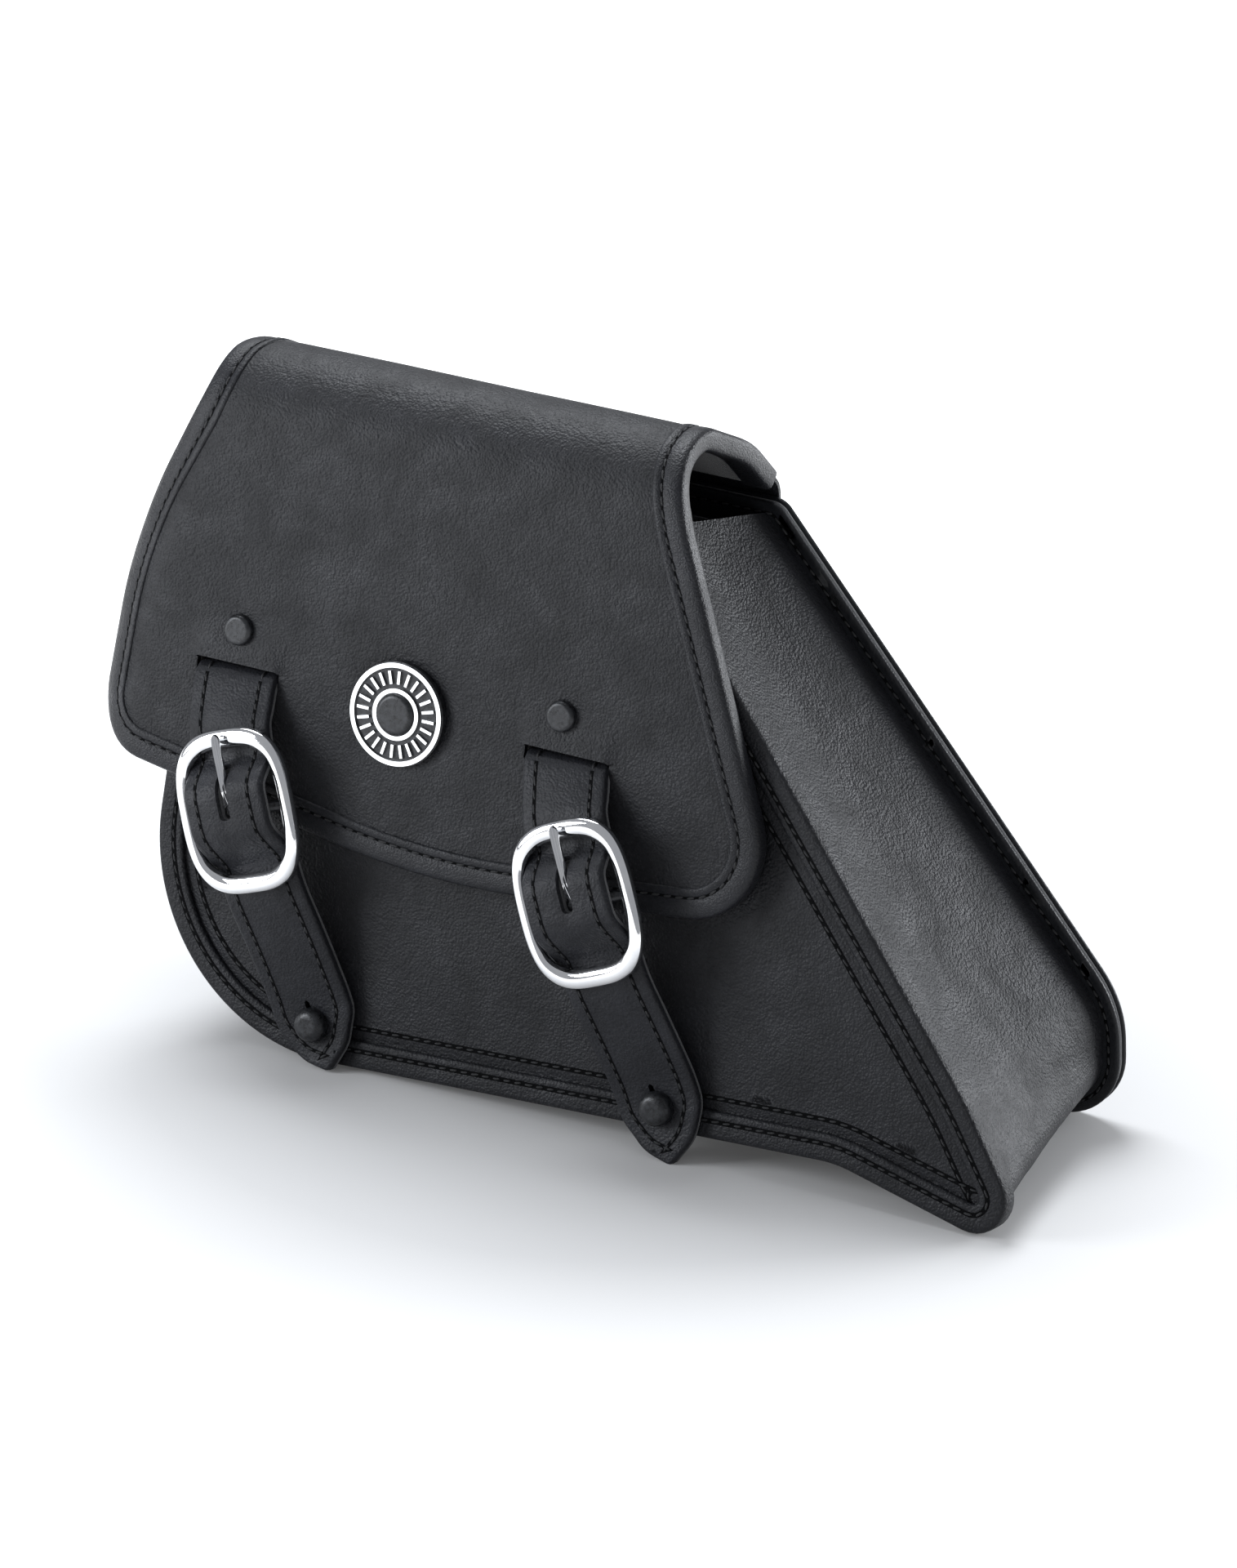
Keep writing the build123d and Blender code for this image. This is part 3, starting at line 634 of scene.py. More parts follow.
def stand(obj, body, *nodes, slot="outer_leather"):
    """The piece rides on a body and stands for CAD nodes; the slot argument is not used."""
    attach(obj, body)
    if nodes:
        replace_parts(obj, *nodes)
    return obj


def even(points, spacing, closed=True):
    """The same curve with evenly spaced points."""
    loop = list(points) + ([points[0]] if closed else [])
    runs = lengths(loop)
    number = max(4, round(runs[-1] / spacing))
    total = number if closed else number + 1
    return [along(loop, runs, runs[-1] * k / number)[0] for k in range(total)]


def rear_height(x, s):
    return 0.12 * ripple(x, s, 1, 35.0) - 0.12


rear_skin = sheet(
    "rear_skin", back_edge, rear_height, lambda x, s: -LEATHER + 0.02,
    back, flange_leather, spacing=6.0, holes=bolt_holes,
)
stand(rear_skin, "bag", "back_skin")
rear_facing = sheet(
    "rear_facing", inset(back_edge, 0.15),
    lambda x, s: -BACK_STACK + LEATHER - 0.02, lambda x, s: -BACK_STACK,
    back, flange_leather, spacing=6.0, holes=bolt_holes,
)
stand(rear_facing, "bag", "back_facing")
welt_section = [
    (1.0, -4.15), (0.72, -3.7), (0.66, -3.2), (0.72, -2.7), (1.0, -2.25), (5.0, -2.25), (5.0, -4.15),
]
stand(sweep("rear_welt", back_edge, welt_section, back, strap_suede), "bag", "back_welt", slot="edge_leather")

# ---- gusset ----------------------------------------------------------------------------------

FRONT_SKIN_DEPTH = 3.7
GUSSET, FLANGE, RIM_WALL = 2.4, 6.5, 2.2


def half_outline(corners, radii, distance, counts):
    """The outline from its top left corner down, along and up to its top right, moved in by
    distance, with a fixed number of points on every leg and corner."""
    normals = [unit(q[0] - p[0], q[1] - p[1]) for p, q in zip(corners, corners[1:])]
    normals = [(-dy, dx) for dx, dy in normals]
    moved = []
    for i, p in enumerate(corners):
        a, b = normals[max(i - 1, 0)], normals[min(i, len(normals) - 1)]
        if i in (0, len(corners) - 1):
            moved.append((p[0] + a[0] * distance, p[1] + a[1] * distance))
        else:
            spread = 1 + a[0] * b[0] + a[1] * b[1]
            moved.append((p[0] + (a[0] + b[0]) * distance / spread, p[1] + (a[1] + b[1]) * distance / spread))
    out = [moved[0]]
    previous = moved[0]
    for i in range(1, len(moved) - 1):
        here, last, after = moved[i], moved[i - 1], moved[i + 1]
        turns_left = (here[0] - last[0]) * (after[1] - here[1]) > (here[1] - last[1]) * (after[0] - here[0])
        radius = max(0.5, radii[i - 1] + (-distance if turns_left else distance))
        p, q, _, point = corner(last, here, after, radius)
        legs, arc = counts[2 * i - 2], counts[2 * i - 1]
        out += [between(previous, p, k, legs) for k in range(1, legs + 1)]
        out += [point(k, arc) for k in range(1, arc + 1)]
        previous = q
    return out + [between(previous, moved[-1], k, counts[-1]) for k in range(1, counts[-1] + 1)]


LEG_COUNTS = (28, 22, 34, 8, 10, 18, 4, 10, 48)
ACROSS = 26


def gusset_shell(name, out_depth, thickness, material, start=0.0):
    """The gusset or its lining: a soft strip lofted between the two panels, pulled in between
    its seams, with a fold down its slanted side."""
    layers = []
    for depth in (out_depth, out_depth + thickness):
        f_line = half_outline(FRONT_CORNERS, FRONT_RADII[1:-1], RIM_WALL + depth, LEG_COUNTS)
        b_line = half_outline(BACK_CORNERS, BACK_RADII[1:-1], FLANGE + depth, LEG_COUNTS)
        count = len(f_line)
        rows = []
        for k in range(count):
            f = np.array(front(*f_line[k], -FRONT_SKIN_DEPTH))
            b = np.array(back(*b_line[k], -BACK_STACK))
            j, i = min(k + 1, count - 1), max(k - 1, 0)
            run = np.array(front(*f_line[j], 0)) - np.array(front(*f_line[i], 0))
            span = b - f
            inward = np.cross(span, run)
            inward /= -np.linalg.norm(inward)
            if np.dot(inward, np.array([-0.02, 0.0, 0.11]) - f) < 0:
                inward = -inward
            row = []
            for v in range(ACROSS + 1):
                w = start + (1 - start) * v / ACROSS
                s = f_line[k][1]
                slanted = smooth((k / count - 0.62) / 0.12) * smooth((235 - s) / 60 + 0.2)
                sag = 0.9 * math.sin(math.pi * w)
                sag += slanted * 3.2 * math.sin(math.pi * min(1.0, w * 1.05)) ** 1.5
                fold_at = 0.30 + 0.16 * smooth((s - 40) / 160)
                fold = math.exp(-((w - fold_at) / 0.17) ** 2)
                sag += slanted * 1.3 * fold * smooth((s - 15) / 60)
                roll = math.exp(-(w / 0.05) ** 2) + 0.6 * math.exp(-((w - 1) / 0.05) ** 2)
                sag -= 0.35 * roll * (1 if depth == out_depth else 0)
                u = k * 3.2
                sag += 0.35 * ripple(u, w * 110, 3, 30.0) * math.sin(math.pi * w)
                sag += 0.16 * ripple(u * 0.45, w * 110, 4, 9.0) * math.sin(math.pi * w)
                row.append(f + span * w + inward * (sag * MM))
            rows.append(row)
        layers.append(rows)
    verts = [p for rows in layers for row in rows for p in row]
    m, count = ACROSS + 1, len(layers[0])
    total = count * m
    faces = []
    for k in range(count - 1):
        for v in range(ACROSS):
            a = k * m + v
            quad = (a, a + 1, a + m + 1, a + m)
            faces += [quad, tuple(total + i for i in reversed(quad))]
    rim = [(k * m + v, (k + 1) * m + v) for k in range(count - 1) for v in (0, ACROSS)]
    rim += [(k * m + v, k * m + v + 1) for k in (0, count - 1) for v in range(ACROSS)]
    faces += [(a, b, b + total, a + total) for a, b in rim]
    return mesh_object(name, verts, faces, material, 50)


stand(gusset_shell("gusset_skin", 0.0, GUSSET, outer), "bag", "gusset")
stand(gusset_shell("gusset_lining", GUSSET + 0.05, LINING, lining_suede, start=0.05), "bag", "gusset_liner",
      slot="suede")

# ---- front panel and its stitched border -----------------------------------------------------

STUDS = [
    (x + a * math.sin(lean), s - a * math.cos(lean))
    for (x, s), a, lean in zip(SLOTS, STUD_ALONGS, STRAP_LEANS)
]
border_section = [
    (0.35, -7.5), (0.0, -7.0), (0.0, -1.5), (0.3, -0.55), (1.0, -0.08), (2.2, 0.0), (5.2, 0.0), (6.0, -0.18),
    (6.4, -0.32), (6.8, -0.18), (7.6, 0.0), (8.7, -0.02), (9.4, -0.3), (9.8, -0.9), (9.75, -1.75),
    (2.25, -1.75), (2.25, -7.5),
]
stand(sweep("front_rim", front_edge, border_section, front, outer, sharp=60), "bag", "front_border")


def panel_height(x, s):
    """The front skin: let in under the border and softly uneven."""
    d = float(to_loop([(x, s)], front_edge)[0])
    h = -1.5 - 0.55 * math.exp(-((d - 10.2) / 1.6) ** 2)
    h += 0.25 * smooth((d - 14) / 20) + 0.4 * ripple(x, s, 5, 48.0) * smooth((d - 12) / 30)
    return h


PANEL_RINGS = tuple((d, 0.0) for d in (7.4, 8.0, 9.4, 11.0, 11.6, 12.2, 13.6))
front_skin = sheet(
    "front_skin", inset(front_edge, 2.4), panel_height, lambda x, s: -FRONT_SKIN_DEPTH, front, outer,
    spacing=3.6, holes=[circle(p, 2.1) for p in STUDS],
    edge=((0.0, 0.3), (5.0, 0.3), *PANEL_RINGS), under_edge=((0.0, 0.0), (5.0, 0.0), *PANEL_RINGS),
)
stand(front_skin, "bag", "front_panel")


def below(points, top):
    """The stretch of a closed outline under a height, as one open run."""
    loop = list(points)
    start = max(range(len(loop)), key=lambda i: loop[i][1] > top >= loop[(i + 1) % len(loop)][1])
    turned = loop[start + 1:] + loop[: start + 1]
    return list(itertools.takewhile(lambda p: p[1] <= top, turned))


rim_seam, panel_seam = inset(front_edge, 6.4), inset(front_edge, 14.2)
stand(stitches(
    "border_thread", [(below(rim_seam, 208.0), lambda x, s: -0.02), (below(panel_seam, 205.0), panel_height)],
    front, thread, sink=-0.12,
), "bag")
# Painted shade along the border's two stitch rows, as a dark ribbon.
stand(seam_shade_ribbon(
    "border_groove_shade",
    [(below(rim_seam, 207.0), lambda x, s: -0.1), (below(panel_seam, 204.0), panel_height)], front,
    groove_shade, width=1.7, above=0.14,
), "bag")

flange_line = below(inset(back_edge, 4.0), 200.0)
rear_rows = [(flange_line, rear_height)]
stand(stitches("flange_thread", rear_rows, back, thread, thick=0.36, sink=-0.05), "bag")
# Painted shade along the rear flange's stitch row, as a dark ribbon.
stand(seam_shade_ribbon("rear_groove_shade", rear_rows, back, groove_shade, above=0.08), "bag")


def flange_face(x, s, n):
    """Heights counted from the rear panel's inner face, into the bag."""
    return back(x, s, -BACK_STACK - n)


face_rows = [(flange_line, lambda x, s: 0.0)]
stand(stitches("flange_seam_thread", face_rows, flange_face, thread, sink=-0.1), "bag")
# Painted shade along the flange's inner stitch row, as a dark ribbon.
stand(seam_shade_ribbon("flange_groove_shade", face_rows, flange_face, groove_shade), "bag")

# ---- flap ------------------------------------------------------------------------------------
# The flap is drawn as a flat sheet: x across the bag, t along its side profile from the bottom
# edge of the front, up over the crest and the roof, to the strip riveted behind the bag.

CREST_S, CREST_RADIUS, KNUCKLE, ROOF_RADIUS = 250.2, 24.0, (24.5, 227.3), 60.0
BOTTOM_S, HINGE_S, HINGE_DEPTH, STRIP_BOTTOM = 60.0, 206.6, 1.9, 177.5
ROOF_LEFT, ROOF_RIGHT = -146.8, 31.0


HINGE = back_yz(HINGE_S, -HINGE_DEPTH)
fall = math.atan2(KNUCKLE[1] - HINGE[1], HINGE[0] - KNUCKLE[0])
hinge_outer = (HINGE[0] + FLAP_STACK / 2 * math.sin(fall), HINGE[1] + FLAP_STACK / 2 * math.cos(fall))


def meet(p, p_dir, q, q_dir):
    """Where two lines cross."""
    cross = p_dir[0] * q_dir[1] - p_dir[1] * q_dir[0]
    f = ((q[0] - p[0]) * q_dir[1] - (q[1] - p[1]) * q_dir[0]) / cross
    return (p[0] + p_dir[0] * f, p[1] + p_dir[1] * f)


strip_low, strip_high = back_yz(STRIP_BOTTOM, LEATHER + 0.05), back_yz(200.0, LEATHER + 0.05)
roof_way = unit(hinge_outer[0] - KNUCKLE[0], hinge_outer[1] - KNUCKLE[1])
strip_way = unit(strip_low[0] - strip_high[0], strip_low[1] - strip_high[1])
rear_corner = meet(KNUCKLE, roof_way, strip_high, strip_way)
profile = rounded(
    [front_yz(BOTTOM_S, FLAP_GAP), front_yz(CREST_S, FLAP_GAP), KNUCKLE, rear_corner, strip_low],
    (CREST_RADIUS, ROOF_RADIUS, 9.0), False, step=1.5, arc=12,
)
profile_runs = lengths(profile)
hinge_t = min(
    (math.dist(p, hinge_outer), run) for p, run in zip(profile, profile_runs)
)[1]
front_z = [p[1] for p in profile]
crest_index = int(np.argmax(front_z))
crest_t = profile_runs[crest_index]


def t_of_z(z):
    """Running length at a height on the front of the flap."""
    return float(np.interp(z, front_z[: crest_index + 1], profile_runs[: crest_index + 1]))


def t_of_s(s):
    return s - BOTTOM_S


def on_profile(t):
    (y, z), (ty, tz) = along(profile, profile_runs, min(max(t, 0.0), profile_runs[-1]))
    return y, z, -tz, ty


FLAP_CORNERS = (
    (-146.8, 270.0), (-149.0, 229.0), (-177.0, 173.0), (-184.4, 97.0), (-45.0, 75.0), (89.8, 88.5),
    (38.0, 214.0), (31.0, 240.0), (31.0, 270.0),
)
FLAP_RADII = (60, 160, 22, 300, 27, 60, 60)
outline_xz = rounded(FLAP_CORNERS, FLAP_RADII, False, step=3.0)
face_part = [(x, t_of_z(z)) for x, z in outline_xz if z <= front_z[crest_index] - 0.4]
roof_steps = max(4, round((hinge_t - crest_t) / 3.0))
left_roof = [(ROOF_LEFT, hinge_t + (crest_t - hinge_t) * k / roof_steps) for k in range(roof_steps)]
right_roof = [(ROOF_RIGHT, crest_t + (hinge_t - crest_t) * k / roof_steps) for k in range(1, roof_steps + 1)]
flap_line = even(left_roof + face_part + right_roof, 2.6, closed=False)

ROLL_WIDTH, ROLL_SLOPE = 25.0, 0.95
flap_array = np.array(flap_line)
left_side = sorted((p[1], p[0]) for p in flap_line if p[0] < -120 and p[1] > 25.0)
left_low = min(left_side, key=lambda p: p[1])[0]


def curl(x, t):
    """How far the flap bends back from its flat face: a roll along the whole left edge, and a
    slight fall towards the stitched rim elsewhere."""
    level = max(t, left_low)
    d = x - float(np.interp(level, [p[0] for p in left_side], [p[1] for p in left_side]))
    slope = 0.15 + (ROLL_SLOPE - 0.15) * smooth((crest_t - 12 - t) / 75.0)
    if d < ROLL_WIDTH:
        inner = max(d, 0.0) / ROLL_WIDTH
        rolled = slope * (ROLL_WIDTH / 3 * (1 - inner) ** 3 - min(d, 0.0))
    else:
        rolled = 0.0
    rim = float(np.sqrt(((flap_array - (x, t)) ** 2).sum(1).min()))
    rim_fall = 0.5 * (1 - smooth(rim / 16.0)) * smooth((hinge_t - 20 - t) / 40.0)
    return rolled * smooth((hinge_t - 10 - t) / 20.0) + rim_fall


def flap_lift(x, t):
    """Height of the flap's outer surface over its ideal sheet."""
    h = -curl(x, t)
    h += 0.38 * ripple(x, t, 8, 62.0) + 0.12 * ripple(x, t, 9, 19.0)
    h += 0.3 * math.exp(-((t - crest_t + 34) / 26.0) ** 2)
    for (sx, ss) in SLOTS:
        st = t_of_s(ss)
        across = smooth((19.5 - abs(x - sx)) / 5.0)
        up = t - st
        if up > 0:
            h += 1.5 * across * math.exp(-((up - 1.0) / 7.5) ** 2)
        else:
            h -= 0.3 * across * math.exp(-(up / 3.5) ** 2)
        h -= 0.55 * math.exp(-(((x - sx) ** 2 + (up - 12.7) ** 2) / 42.0))
    bt = t_of_s(BADGE[1])
    h -= 0.5 * math.exp(-(max(0.0, math.dist((x, t), (BADGE[0], bt)) - 15.0) / 5.0) ** 2)
    return h * smooth((hinge_t + 4 - t) / 14.0)


def on_flap(x, t, n):
    """A point on the flap's sheet, with n outward."""
    y, z, ny, nz = on_profile(t)
    return (x * MM, (y + ny * n) * MM, (z + nz * n) * MM)


TRIM = 1.2
end_t = profile_runs[-1]
skin_line = inset(flap_line, TRIM + 0.6, closed=False)
strip_left, strip_right = -143.5, 28.5
tail = [(strip_right, hinge_t + 3.0)]
tail += rounded(
    [(strip_right, hinge_t + 5.0), (strip_right, end_t), (strip_left, end_t), (strip_left, hinge_t + 5.0)],
    (3.0, 3.0), False, step=3.0, arc=5,
)
tail += [(strip_left, hinge_t + 3.0)]
skin_outline = even([p for p in skin_line if p[1] < hinge_t - 1.5] + tail, 2.4)
SLIT_HALF, SLIT_LOW, SLIT_HIGH = 16.3, 4.8, 0.9


def slit(place):
    """The outline of a strap's slit, level on the flap."""
    x, t = place[0], t_of_s(place[1])
    corners = box(x - SLIT_HALF, t - SLIT_LOW, x + SLIT_HALF, t + SLIT_HIGH)
    return rounded(corners, (1.0,) * 4, True, step=1.4, arc=3)


slits = [slit(place) for place in SLOTS]
flap_skin = sheet(
    "flap_leather", skin_outline, flap_lift, lambda x, t: flap_lift(x, t) - LEATHER + 0.05, on_flap, outer,
    spacing=3.0, holes=slits, edge=((0.0, 0.4), (0.9, 0.1), (1.8, 0.0)), sharp=55,
)
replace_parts(flap_skin, "flap_skin", "hinge_strip")
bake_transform(flap_skin)

binding_section = [
    (10.8, -0.3), (10.75, 0.35), (10.3, 0.78), (9.5, 0.88), (8.4, 0.82), (7.8, 0.5), (7.4, 0.36), (7.0, 0.5),
    (6.3, 0.86), (4.5, 1.08), (2.4, 1.12), (1.0, 0.82), (0.25, 0.1), (0.0, -1.1), (0.0, -4.4), (0.3, -5.7),
    (1.1, -6.45), (2.4, -6.6), (9.9, -6.6), (10.6, -6.2), (10.7, -5.4), (1.3, -5.4), (1.3, -0.3),
]


def on_bound_edge(x, t, n):
    """As on the flap, but following its curled edge."""
    return on_flap(x, t, n - curl(x, t))


binding_line = [p for p in flap_line if p[1] < hinge_t - 6.0]
flap_edge_binding = sweep(
    "flap_edge_binding", binding_line, binding_section, on_bound_edge, binding, closed=False, sharp=60
)
stand(flap_edge_binding, "flap", "flap_binding", slot="edge_leather")
thread_line = [p for p in inset(flap_line, 7.4, closed=False) if p[1] < hinge_t - 9.0]
stand(stitches(
    "flap_thread", [(thread_line, lambda x, t: 0.68)], on_bound_edge, thread, pitch=4.4, long=3.5, thick=0.46
), "flap")
# Painted shade along the flap's stitch row, as a dark ribbon.
stand(seam_shade_ribbon("flap_groove_shade", [(thread_line, lambda x, t: 0.5)], on_bound_edge, groove_shade), "flap")

# The stiffener and the suede lining under the flap follow the rolled edge too.


def under_layer(name, inset_by, top_depth, thickness, material, slot):
    line = [p for p in inset(flap_line, inset_by, closed=False) if p[1] < hinge_t - 9.0]
    outline = even(line + [(line[-1][0], hinge_t - 7.0), (line[0][0], hinge_t - 7.0)], 3.2)

    def height(x, t):
        return -top_depth - curl(x, t)

    layer = sheet(
        name, outline, height, lambda x, t: height(x, t) - thickness, on_flap, material, spacing=5.0,
        holes=slits, edge=FLAT,
    )
    return stand(layer, "flap", slot=slot)


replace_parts(under_layer("flap_stiffener", 3.4, 2.75, 1.25, fibre_board, "stiffener_board"), "flap_board")
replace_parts(under_layer("flap_lining", 1.6, 4.05, 1.15, lining_suede, "suede"), "flap_liner")

# ---- straps ----------------------------------------------------------------------------------
# A strap is drawn flat: u across it, v = -(length along it). It comes out of the flap's level
# slit, turns to its lean, runs over the buckle's middle bar and down to its stud.

STRAP_ENDS = (143.0, 142.0)
SWAYS = (2.9, 1.7)
TIP_SWINGS = (3.6, 0.0)
PRONG_SHIFTS = (-3.0, -1.2)
BUCKLE_ALONG, BUCKLE_LEVEL = 48.0, 14.0
STRAP_HALF, FACE_TOP, FACE_LOW, BACKING_LOW = 15.6, 2.2, -0.2, -2.15
UNDER_BAR, OVER_BAR, ON_PANEL = 8.8, 19.45, -5.4


class Strap:
    """One strap's course over the bag."""

    def __init__(self, side):
        self.side = SIDES[side]
        self.slot = SLOTS[side]
        self.lean = STRAP_LEANS[side]
        self.stud = STUD_ALONGS[side]
        self.sway = SWAYS[side]
        self.tip_swing = TIP_SWINGS[side]
        end = STRAP_ENDS[side]
        route = [
            (-3.4, -7.8), (1.9, -7.8), (3.0, 0.2), (19.5, UNDER_BAR), (30.6, UNDER_BAR + 0.4),
            (BUCKLE_ALONG - 9.0, OVER_BAR), (BUCKLE_ALONG + 6.8, OVER_BAR),
            (65.6, UNDER_BAR), (77.0, UNDER_BAR - 0.6), (self.stud - 6.0, ON_PANEL),
            (self.stud + 8.0, ON_PANEL), (end, ON_PANEL + 1.6),
        ]
        self.route = rounded(route, (1.6, 3.0, 14, 7, 6.5, 7.5, 8, 38, 40, 26), False, step=1.0, arc=8)
        self.runs = lengths(self.route)
        self.alongs = [p[0] for p in self.route]
        self.length = self.runs[-1]

    def run_at(self, a):
        return float(np.interp(a, self.alongs, self.runs))

    def drift(self, a):
        """How far the strap's middle strays from the straight line to its stud."""
        back_to = smooth((a - 50) / (self.stud - 55))
        bow = -self.sway * max(a, 0) / 36 * math.exp(1 - max(a, 0) / 36) * (1 - back_to)
        return bow + self.tip_swing * max(0.0, (a - self.stud + 6) / 24) ** 1.5

    def frame(self, u, a, n):
        """A point in the strap's straight frame: u across, a along, n off the flap."""
        x = self.slot[0] + math.sin(self.lean) * a + math.cos(self.lean) * u
        s = self.slot[1] - math.cos(self.lean) * a + math.sin(self.lean) * u
        return front(x, s, FLAP_GAP + n)

    def place(self, u, v, h):
        (a, n), (ta, tn) = along(self.route, self.runs, min(max(-v, 0.0), self.length))
        a, n = a - tn * h, n + ta * h
        mid = self.drift(a)
        turn = math.atan2(self.drift(a + 1) - self.drift(a - 1), 2)
        level = math.radians(2.0) - self.lean
        skew = level + (turn - level) * smooth((a - 1) / 22)
        n -= 0.0022 * u * u * smooth((a - 4) / 10)
        return self.frame(mid + u * math.cos(skew), a - u * math.sin(skew), n)


def strap_outline(strap, trim=0.0, start=0.0):
    half, end = STRAP_HALF - trim, strap.length - trim
    return rounded(
        [(-half, -start), (-half, -(end - 18.5)), (-0.6 * half, -(end - 6.6)), (0, -end),
         (0.6 * half, -(end - 6.6)), (half, -(end - 18.5)), (half, -start)],
        (0.5, 16, 16, 2.4, 16, 16, 0.5), True, step=1.9,
    )


def keyhole(centre, radius, slit_half, slit_top):
    """A round hole with a slit cut up from it."""
    x, y = centre
    start = math.asin(slit_half / radius)
    turns = [math.pi / 2 + start + (2 * math.pi - 2 * start) * k / 24 for k in range(25)]
    points = [(x + radius * math.cos(w), y + radius * math.sin(w)) for w in turns]
    shoulder = slit_half * 0.8
    neck = y + slit_top - 0.8
    return points + [(x + shoulder, neck), (x, y + slit_top), (x - shoulder, neck)]


STITCH_IN, SLOT_HALF = 5.0, 2.2
for side in (0, 1):
    strap = Strap(side)
    outline = strap_outline(strap)
    outline_array = np.array(outline)
    eye = (0.0, -strap.run_at(strap.stud))
    eye_hole = keyhole(eye, 4.9, 1.1, 9.4)
    slot_low, slot_high = strap.run_at(33.2), strap.run_at(50.0)
    aside = PRONG_SHIFTS[side] - strap.drift(39)
    corners = box(aside - SLOT_HALF, -slot_high, aside + SLOT_HALF, -slot_low)
    prong_hole = rounded(corners, (1.6,) * 4, True, step=1.4, arc=4)

    def face_height(u, v):
        rim = float(np.sqrt(((outline_array - (u, v)) ** 2).sum(1).min()))
        h = FACE_TOP + 0.25 * smooth((rim - STITCH_IN - 0.5) / 6)
        from_eye = math.dist((u, v), eye)
        h -= 0.45 * math.exp(-((from_eye - 4.5) / 2.2) ** 2)
        from_hole = math.hypot(u - aside, max(0.0, -v - slot_high, slot_low + v))
        h -= 0.7 * math.exp(-(from_hole / 3.6) ** 2)
        return h + 0.12 * ripple(u + 50 * side, v, 12, 13.0)

    face = sheet(
        f"strap_face_{strap.side}", outline, face_height, lambda u, v: FACE_LOW + 0.02, strap.place,
        strap_leather, spacing=2.1, holes=[eye_hole, prong_hole],
        edge=((0.0, 0.8), (0.3, 0.3), (0.9, 0.05), (1.8, 0.0)),
        under_edge=((0.0, 0.0), (0.3, 0.0), (0.9, 0.0), (1.8, 0.0)), sharp=50,
    )
    first = strap.run_at(3.0)
    backing = sheet(
        f"strap_suede_{strap.side}", strap_outline(strap, 0.15, first), lambda u, v: FACE_LOW - 0.02,
        lambda u, v: BACKING_LOW + 0.1 * ripple(u, v, 13, 4.0), strap.place, strap_suede, spacing=3.0,
        holes=[keyhole(eye, 5.1, 1.2, 9.5), prong_hole], edge=FLAT,
        under_edge=((0.0, 0.5), (1.5, 0.0)), sharp=50,
    )
    seam = [p for p in even(inset(outline, STITCH_IN), 2.0, closed=False) if p[1] < -strap.run_at(2.0)]
    gap = max(range(len(seam)), key=lambda k: math.dist(seam[k], seam[k - 1]))
    seam = seam[gap:] + seam[:gap]
    seam_thread = stitches(
        f"strap_thread_{strap.side}", [(seam, face_height)], strap.place, thread, 4.0, 3.2, 0.45, sink=-0.12
    )
    # Painted shade along the strap's stitch row, as a dark ribbon.
    shade_line = [p for p in seam if p[1] < -strap.run_at(3.5)]
    shade_rows = [(shade_line, face_height)]
    groove_shade_strip = seam_shade_ribbon(f"strap_groove_shade_{strap.side}", shade_rows, strap.place, groove_shade, above=0.12)
    bend_from, bend_to = strap.frame(0, 3, 1), strap.frame(0, 15, 1)
    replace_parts(face, f"strap_{strap.side}")
    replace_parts(backing, f"strap_backing_{strap.side}")
    for piece in (face, backing, seam_thread, groove_shade_strip):
        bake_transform(piece)
        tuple(bend_from)
        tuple(bend_to)

# ---- buckles and prongs ----------------------------------------------------------------------

BUCKLE_HALF_WIDTH, BUCKLE_HALF_LENGTH, BUCKLE_POWER = 22.6, 28.6, 3.0
BUCKLE_SHIFTS = (-2.1, -1.2)
BAR_RADIUS, BAR_MIDDLE = 1.75, (BUCKLE_ALONG, BUCKLE_LEVEL)


def buckle_loop(half_width, half_length, power, count):
    return [(half_width * math.copysign(abs(c) ** (2 / power), c),
             half_length * math.copysign(abs(s) ** (2 / power), s)) for c, s in circle((0, 0), 1, count)]


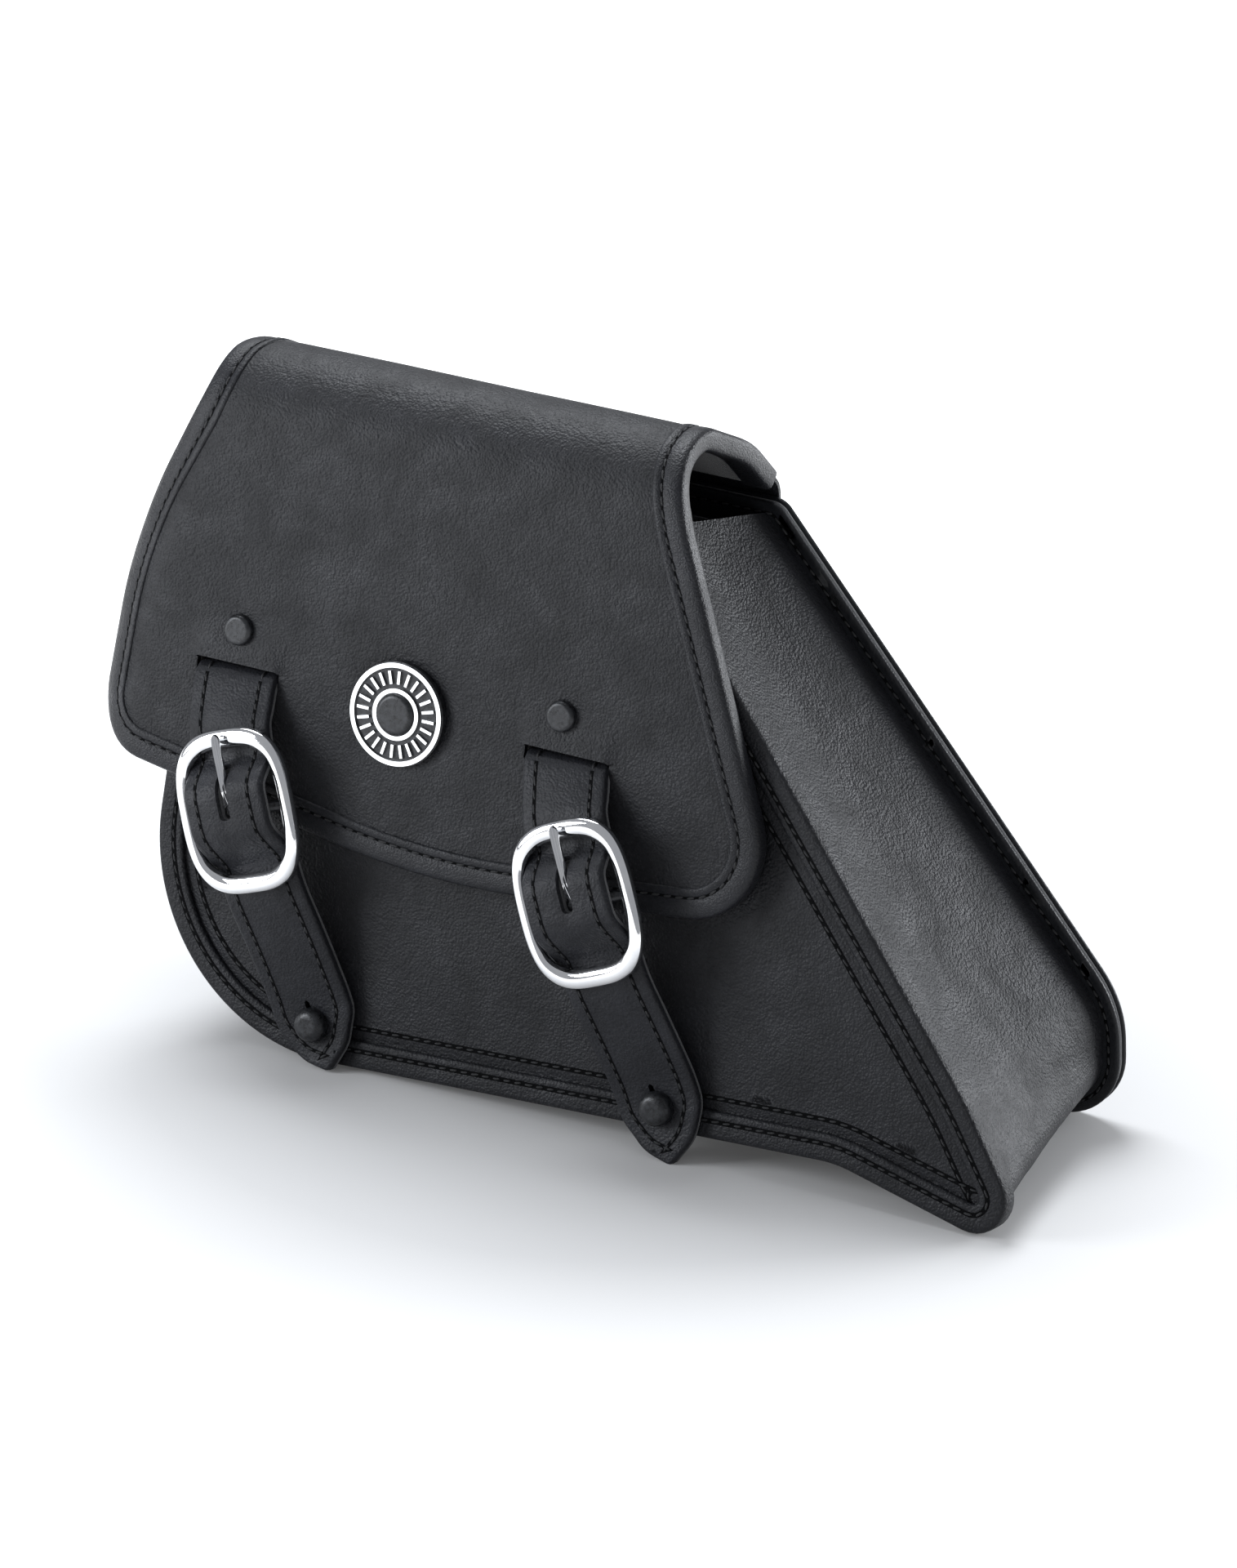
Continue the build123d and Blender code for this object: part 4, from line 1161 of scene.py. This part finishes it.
def buckle_frame(name, strap, shift):
    """The cast frame: a cushion-shaped loop of domed section, bowed along its length, with a round bar across
    its middle. The bar's middle takes the dark enamel as painted shade, where the chrome bar lies in shadow
    beside the strap."""
    path = even(buckle_loop(BUCKLE_HALF_WIDTH, BUCKLE_HALF_LENGTH, BUCKLE_POWER, 360), 1.5)
    normals = left_normals(path, True)
    around = 20
    verts = []
    for p, n in zip(path, normals):
        bar = 5.0 + 1.5 * smooth((abs(p[1]) / BUCKLE_HALF_LENGTH - 0.55) / 0.4)
        bow = -0.9 * (p[1] / BUCKLE_HALF_LENGTH) ** 2
        for k in range(around):
            w = 2 * math.pi * k / around
            c, s = math.cos(w), math.sin(w)
            d = bar / 2 * (1 - math.copysign(abs(c) ** 0.8, c))
            rise = 2.6 if s > 0 else 2.3
            h = rise * math.copysign(abs(s) ** 0.85, s)
            u, a = shift + p[0] + n[0] * d, BUCKLE_ALONG - p[1] - n[1] * d
            verts.append(strap.frame(u, a, BUCKLE_LEVEL + bow + h))
    faces = ring_faces(0, around, len(path), closed=True)
    base = len(verts)
    reach = BUCKLE_HALF_WIDTH - 3.0
    sides = 16
    for end in (-reach, reach):
        verts += [strap.frame(shift + end, a, n) for a, n in circle(BAR_MIDDLE, BAR_RADIUS, sides)]
    faces += ring_faces(base, sides, 2)
    obj = mesh_object(name, verts, faces, chrome, 0)
    # Painted shade: the chrome bar's middle, up to 17 mm either side, takes the dark enamel instead of
    # chrome, standing in for the shadow it lies in beside the strap.
    obj.data.materials.append(black_steel)
    middle = Vector(strap.frame(shift, BUCKLE_ALONG, BUCKLE_LEVEL))
    across = (Vector(strap.frame(shift + 1, BUCKLE_ALONG, BUCKLE_LEVEL)) - middle).normalized()
    for polygon in obj.data.polygons:
        off = polygon.center - middle
        if (off - across * off.dot(across)).length < 2.2 * MM:
            if abs(off.dot(across)) < 17.0 * MM:
                polygon.material_index = 1
    return obj


def prong(name, strap, shift):
    """The prong: an eye round the bar and a ridged tongue that rises through the strap and
    rests on the frame."""
    verts, eye_points = [], 24
    hole = BAR_RADIUS + 0.08
    for u, radius in ((-2.4, hole), (-2.4, 2.85), (2.4, 2.85), (2.4, hole)):
        verts += [strap.frame(shift + u, a, n) for a, n in circle(BAR_MIDDLE, radius, eye_points)]
    faces = ring_faces(0, eye_points, 4, closed=True)
    course = [(47.0, 15.9), (40.5, 18.15), (27.0, 18.3), (20.6, 18.0)]
    spine = rounded(course, (6, 14), False, step=0.8, arc=6)
    total = lengths(spine)[-1]
    section = ((-1.0, -0.2), (-0.95, 0.35), (-0.62, 0.95), (-0.3, 0.62), (0.0, 1.0), (0.3, 0.62),
               (0.62, 0.95), (0.95, 0.35), (1.0, -0.2), (0.6, -0.85), (-0.6, -0.85))
    base = len(verts)
    for p, run in zip(spine, lengths(spine)):
        left = total - run
        tip = math.sqrt(max(0.04, 1 - max(0.0, 1 - left / 2.2) ** 2))
        half = (1.45 + 0.25 * smooth(run / total)) * tip
        deep = 1.2 * (0.45 + 0.55 * tip)
        for du, dn in section:
            verts.append(strap.frame(shift + half * du, p[0], p[1] + deep * dn))
    faces += ring_faces(base, len(section), len(spine))
    return mesh_object(name, verts, faces, chrome, 35)


for side in (0, 1):
    strap = Strap(side)
    buckle = buckle_frame(f"buckle_frame_{strap.side}", strap, BUCKLE_SHIFTS[side])
    stand(buckle, f"strap_{strap.side}", f"buckle_{strap.side}", slot="chrome")
    tongue = prong(f"buckle_prong_{strap.side}", strap, PRONG_SHIFTS[side])
    stand(tongue, f"prong_{strap.side}", f"prong_{strap.side}", slot="chrome")
